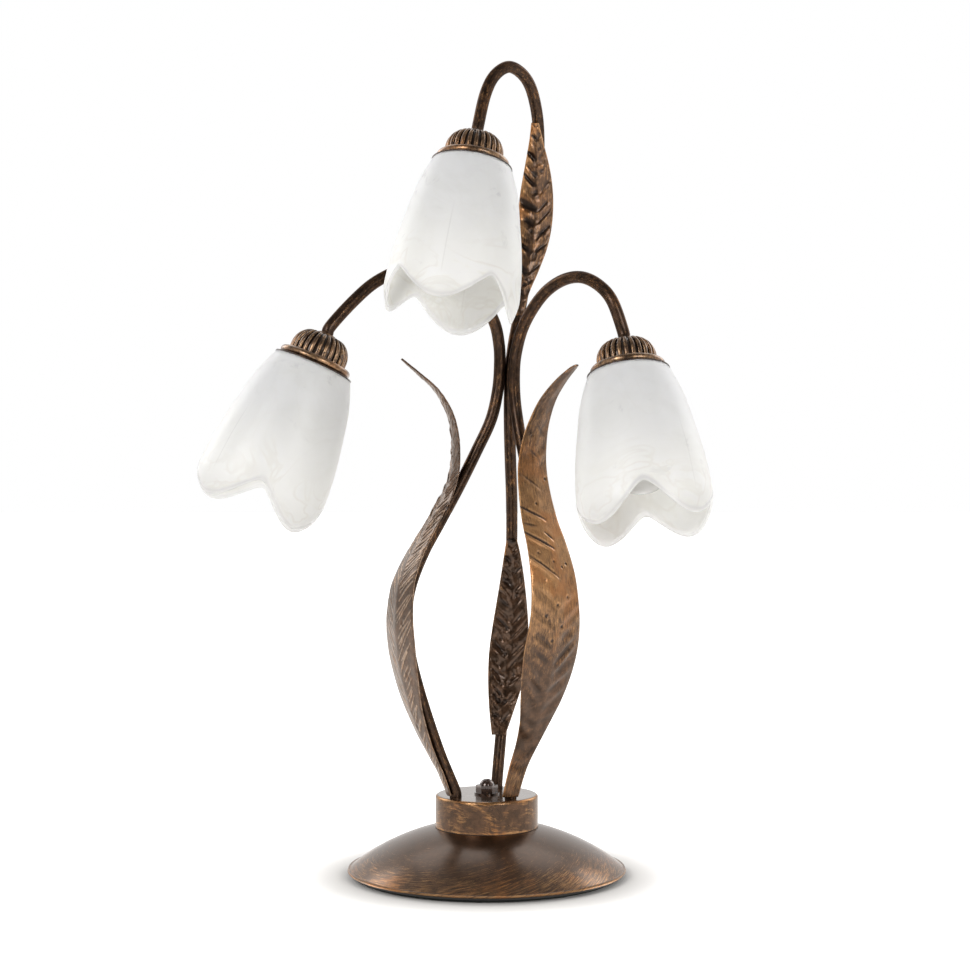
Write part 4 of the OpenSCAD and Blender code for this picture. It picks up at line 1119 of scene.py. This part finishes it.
def make_glasses():
    points, from_rim = glass_points()
    faces = ring_faces(len(points) // GLASS_SIDES, GLASS_SIDES, closed=True)
    marks = {"from_rim": from_rim * MM, "glass_place": points * MM}
    for name, arm in ARMS.items():
        matrix = arm_matrix(arm) @ Matrix.Rotation(math.radians(arm["petals"]), 4, "Z")
        make_piece(name + "_tulip_glass", moved(points * MM, matrix), faces, "shade_glass",
                   name + "_glass", marks)


# ---------------- CAD nodes that stay

def dress_cad_nodes():
    """Gives every CAD node that is still shown the paint of its own slot, except the bottom plate,
    which is painted black as painted shade under the dish's rim.
    """
    slots = {part["node"]: part["material_slot"] for part in frame["record"]["subparts"]}
    # Painted shade: the bottom plate is painted black so the gap under the rim looks shaded
    slots["bottom_plate"] = "plate_painted_shade"
    for name, node in frame["nodes"].items():
        for material_slot in node.material_slots:
            material_slot.material = PAINTS[slots[name]]


# ---------------- stage, lamps and camera

FLOOR_SIZE = 6.0
FLOOR_DROP = 0.0004
# Near the foot the floor is grey, a painted shadow round the base on top of its real shadow, and it
# turns plain white between these distances
WHITE_FROM = 0.088
WHITE_TO = 0.165

WORLD_BRIGHT = 1.0
WORLD_CAMERA_SIDE = 0.12
WORLD_TOP = 0.44

# Softboxes: place, width, height and watts
SOFTBOXES = {
    "key_softbox": ((-1.25, -1.75, 1.3), 1.0, 1.0, 31),
    "fill_softbox": ((1.2, -1.8, 0.9), 0.9, 0.9, 22),
    "left_back_softbox": ((-1.6, 1.3, 1.25), 0.9, 1.1, 11),
    "right_back_softbox": ((1.6, 1.3, 1.25), 0.9, 1.1, 11),
    "back_softbox": ((0.0, 1.45, 2.0), 2.0, 0.9, 8),
}
SOFTBOX_AIM = (0, 0, 0.25)


def make_stage():
    corners = [(x * FLOOR_SIZE, y * FLOOR_SIZE, -FLOOR_DROP)
               for x, y in ((-1, -1), (1, -1), (1, 1), (-1, 1))]
    floor = new_mesh_object("floor", corners, [], [(0, 1, 2, 3)])
    paint, w, skin = new_material("white_floor")
    rays = w.add("ShaderNodeLightPath").outputs
    seen = w.math("MAXIMUM", rays["Is Camera Ray"],
                  w.math("MAXIMUM", rays["Is Glossy Ray"], rays["Is Transmission Ray"]))
    # Painted shadow: near the foot the white glow is left out, so the floor's grey colour shows
    # round the base
    white_past_painted_shadow = w.ramp(w.vector("LENGTH", object_place(w)), WHITE_FROM, WHITE_TO)
    w.dress(skin, Base_Color=(0.64, 0.622, 0.6, 1), Roughness=0.9, Specular_IOR_Level=0.1,
            Emission_Color=(1, 1, 1, 1), Emission_Strength=w.times(seen, white_past_painted_shadow))
    floor.data.materials.append(paint)


def make_world():
    """White studio, darker on the camera's side and overhead, which gives bronze its contrast."""
    world = bpy.data.worlds.new("white_studio")
    bpy.context.scene.world = world
    world.use_nodes = True
    world.node_tree.nodes.clear()
    w = Wires(world.node_tree)
    _, y, z = w.split(w.add("ShaderNodeTexCoord").outputs["Generated"])
    level = w.ramp(y, -0.8, -0.1, WORLD_CAMERA_SIDE, WORLD_BRIGHT)
    level = w.times(level, w.ramp(z, 0.3, 0.95, 1.0, WORLD_TOP))
    rays = w.add("ShaderNodeLightPath").outputs
    level = w.math("MAXIMUM", level, rays["Is Camera Ray"])
    sky = w.add("ShaderNodeBackground", {"Color": (1, 1, 1, 1), "Strength": level}).outputs[0]
    out = w.add("ShaderNodeOutputWorld")
    world.node_tree.links.new(sky, out.inputs[0])


def make_lamps():
    for name, (place, width, height, watts) in SOFTBOXES.items():
        light = bpy.data.lights.new(name, "AREA")
        light.shape = "RECTANGLE"
        light.size = width
        light.size_y = height
        light.energy = watts
        lamp = bpy.data.objects.new(name, light)
        bpy.context.scene.collection.objects.link(lamp)
        lamp.location = place
        way = Vector(SOFTBOX_AIM) - Vector(place)
        lamp.rotation_euler = way.to_track_quat("-Z", "Y").to_euler()


def make_camera():
    lens = bpy.data.cameras.new("product_camera")
    lens.lens = CAMERA_LENS
    lens.sensor_width = CAMERA_FILM
    camera = bpy.data.objects.new("product_camera", lens)
    bpy.context.scene.collection.objects.link(camera)
    camera.location = CAMERA_PLACE
    camera.rotation_euler = (math.radians(90 - CAMERA_DOWN_DEG), 0, 0)
    bpy.context.scene.camera = camera


make_camera()
make_world()
make_lamps()
make_stage()
make_stems()
make_leaves()
make_caps()
make_glasses()
dress_cad_nodes()
bpy.context.scene.view_settings.view_transform = "Standard"
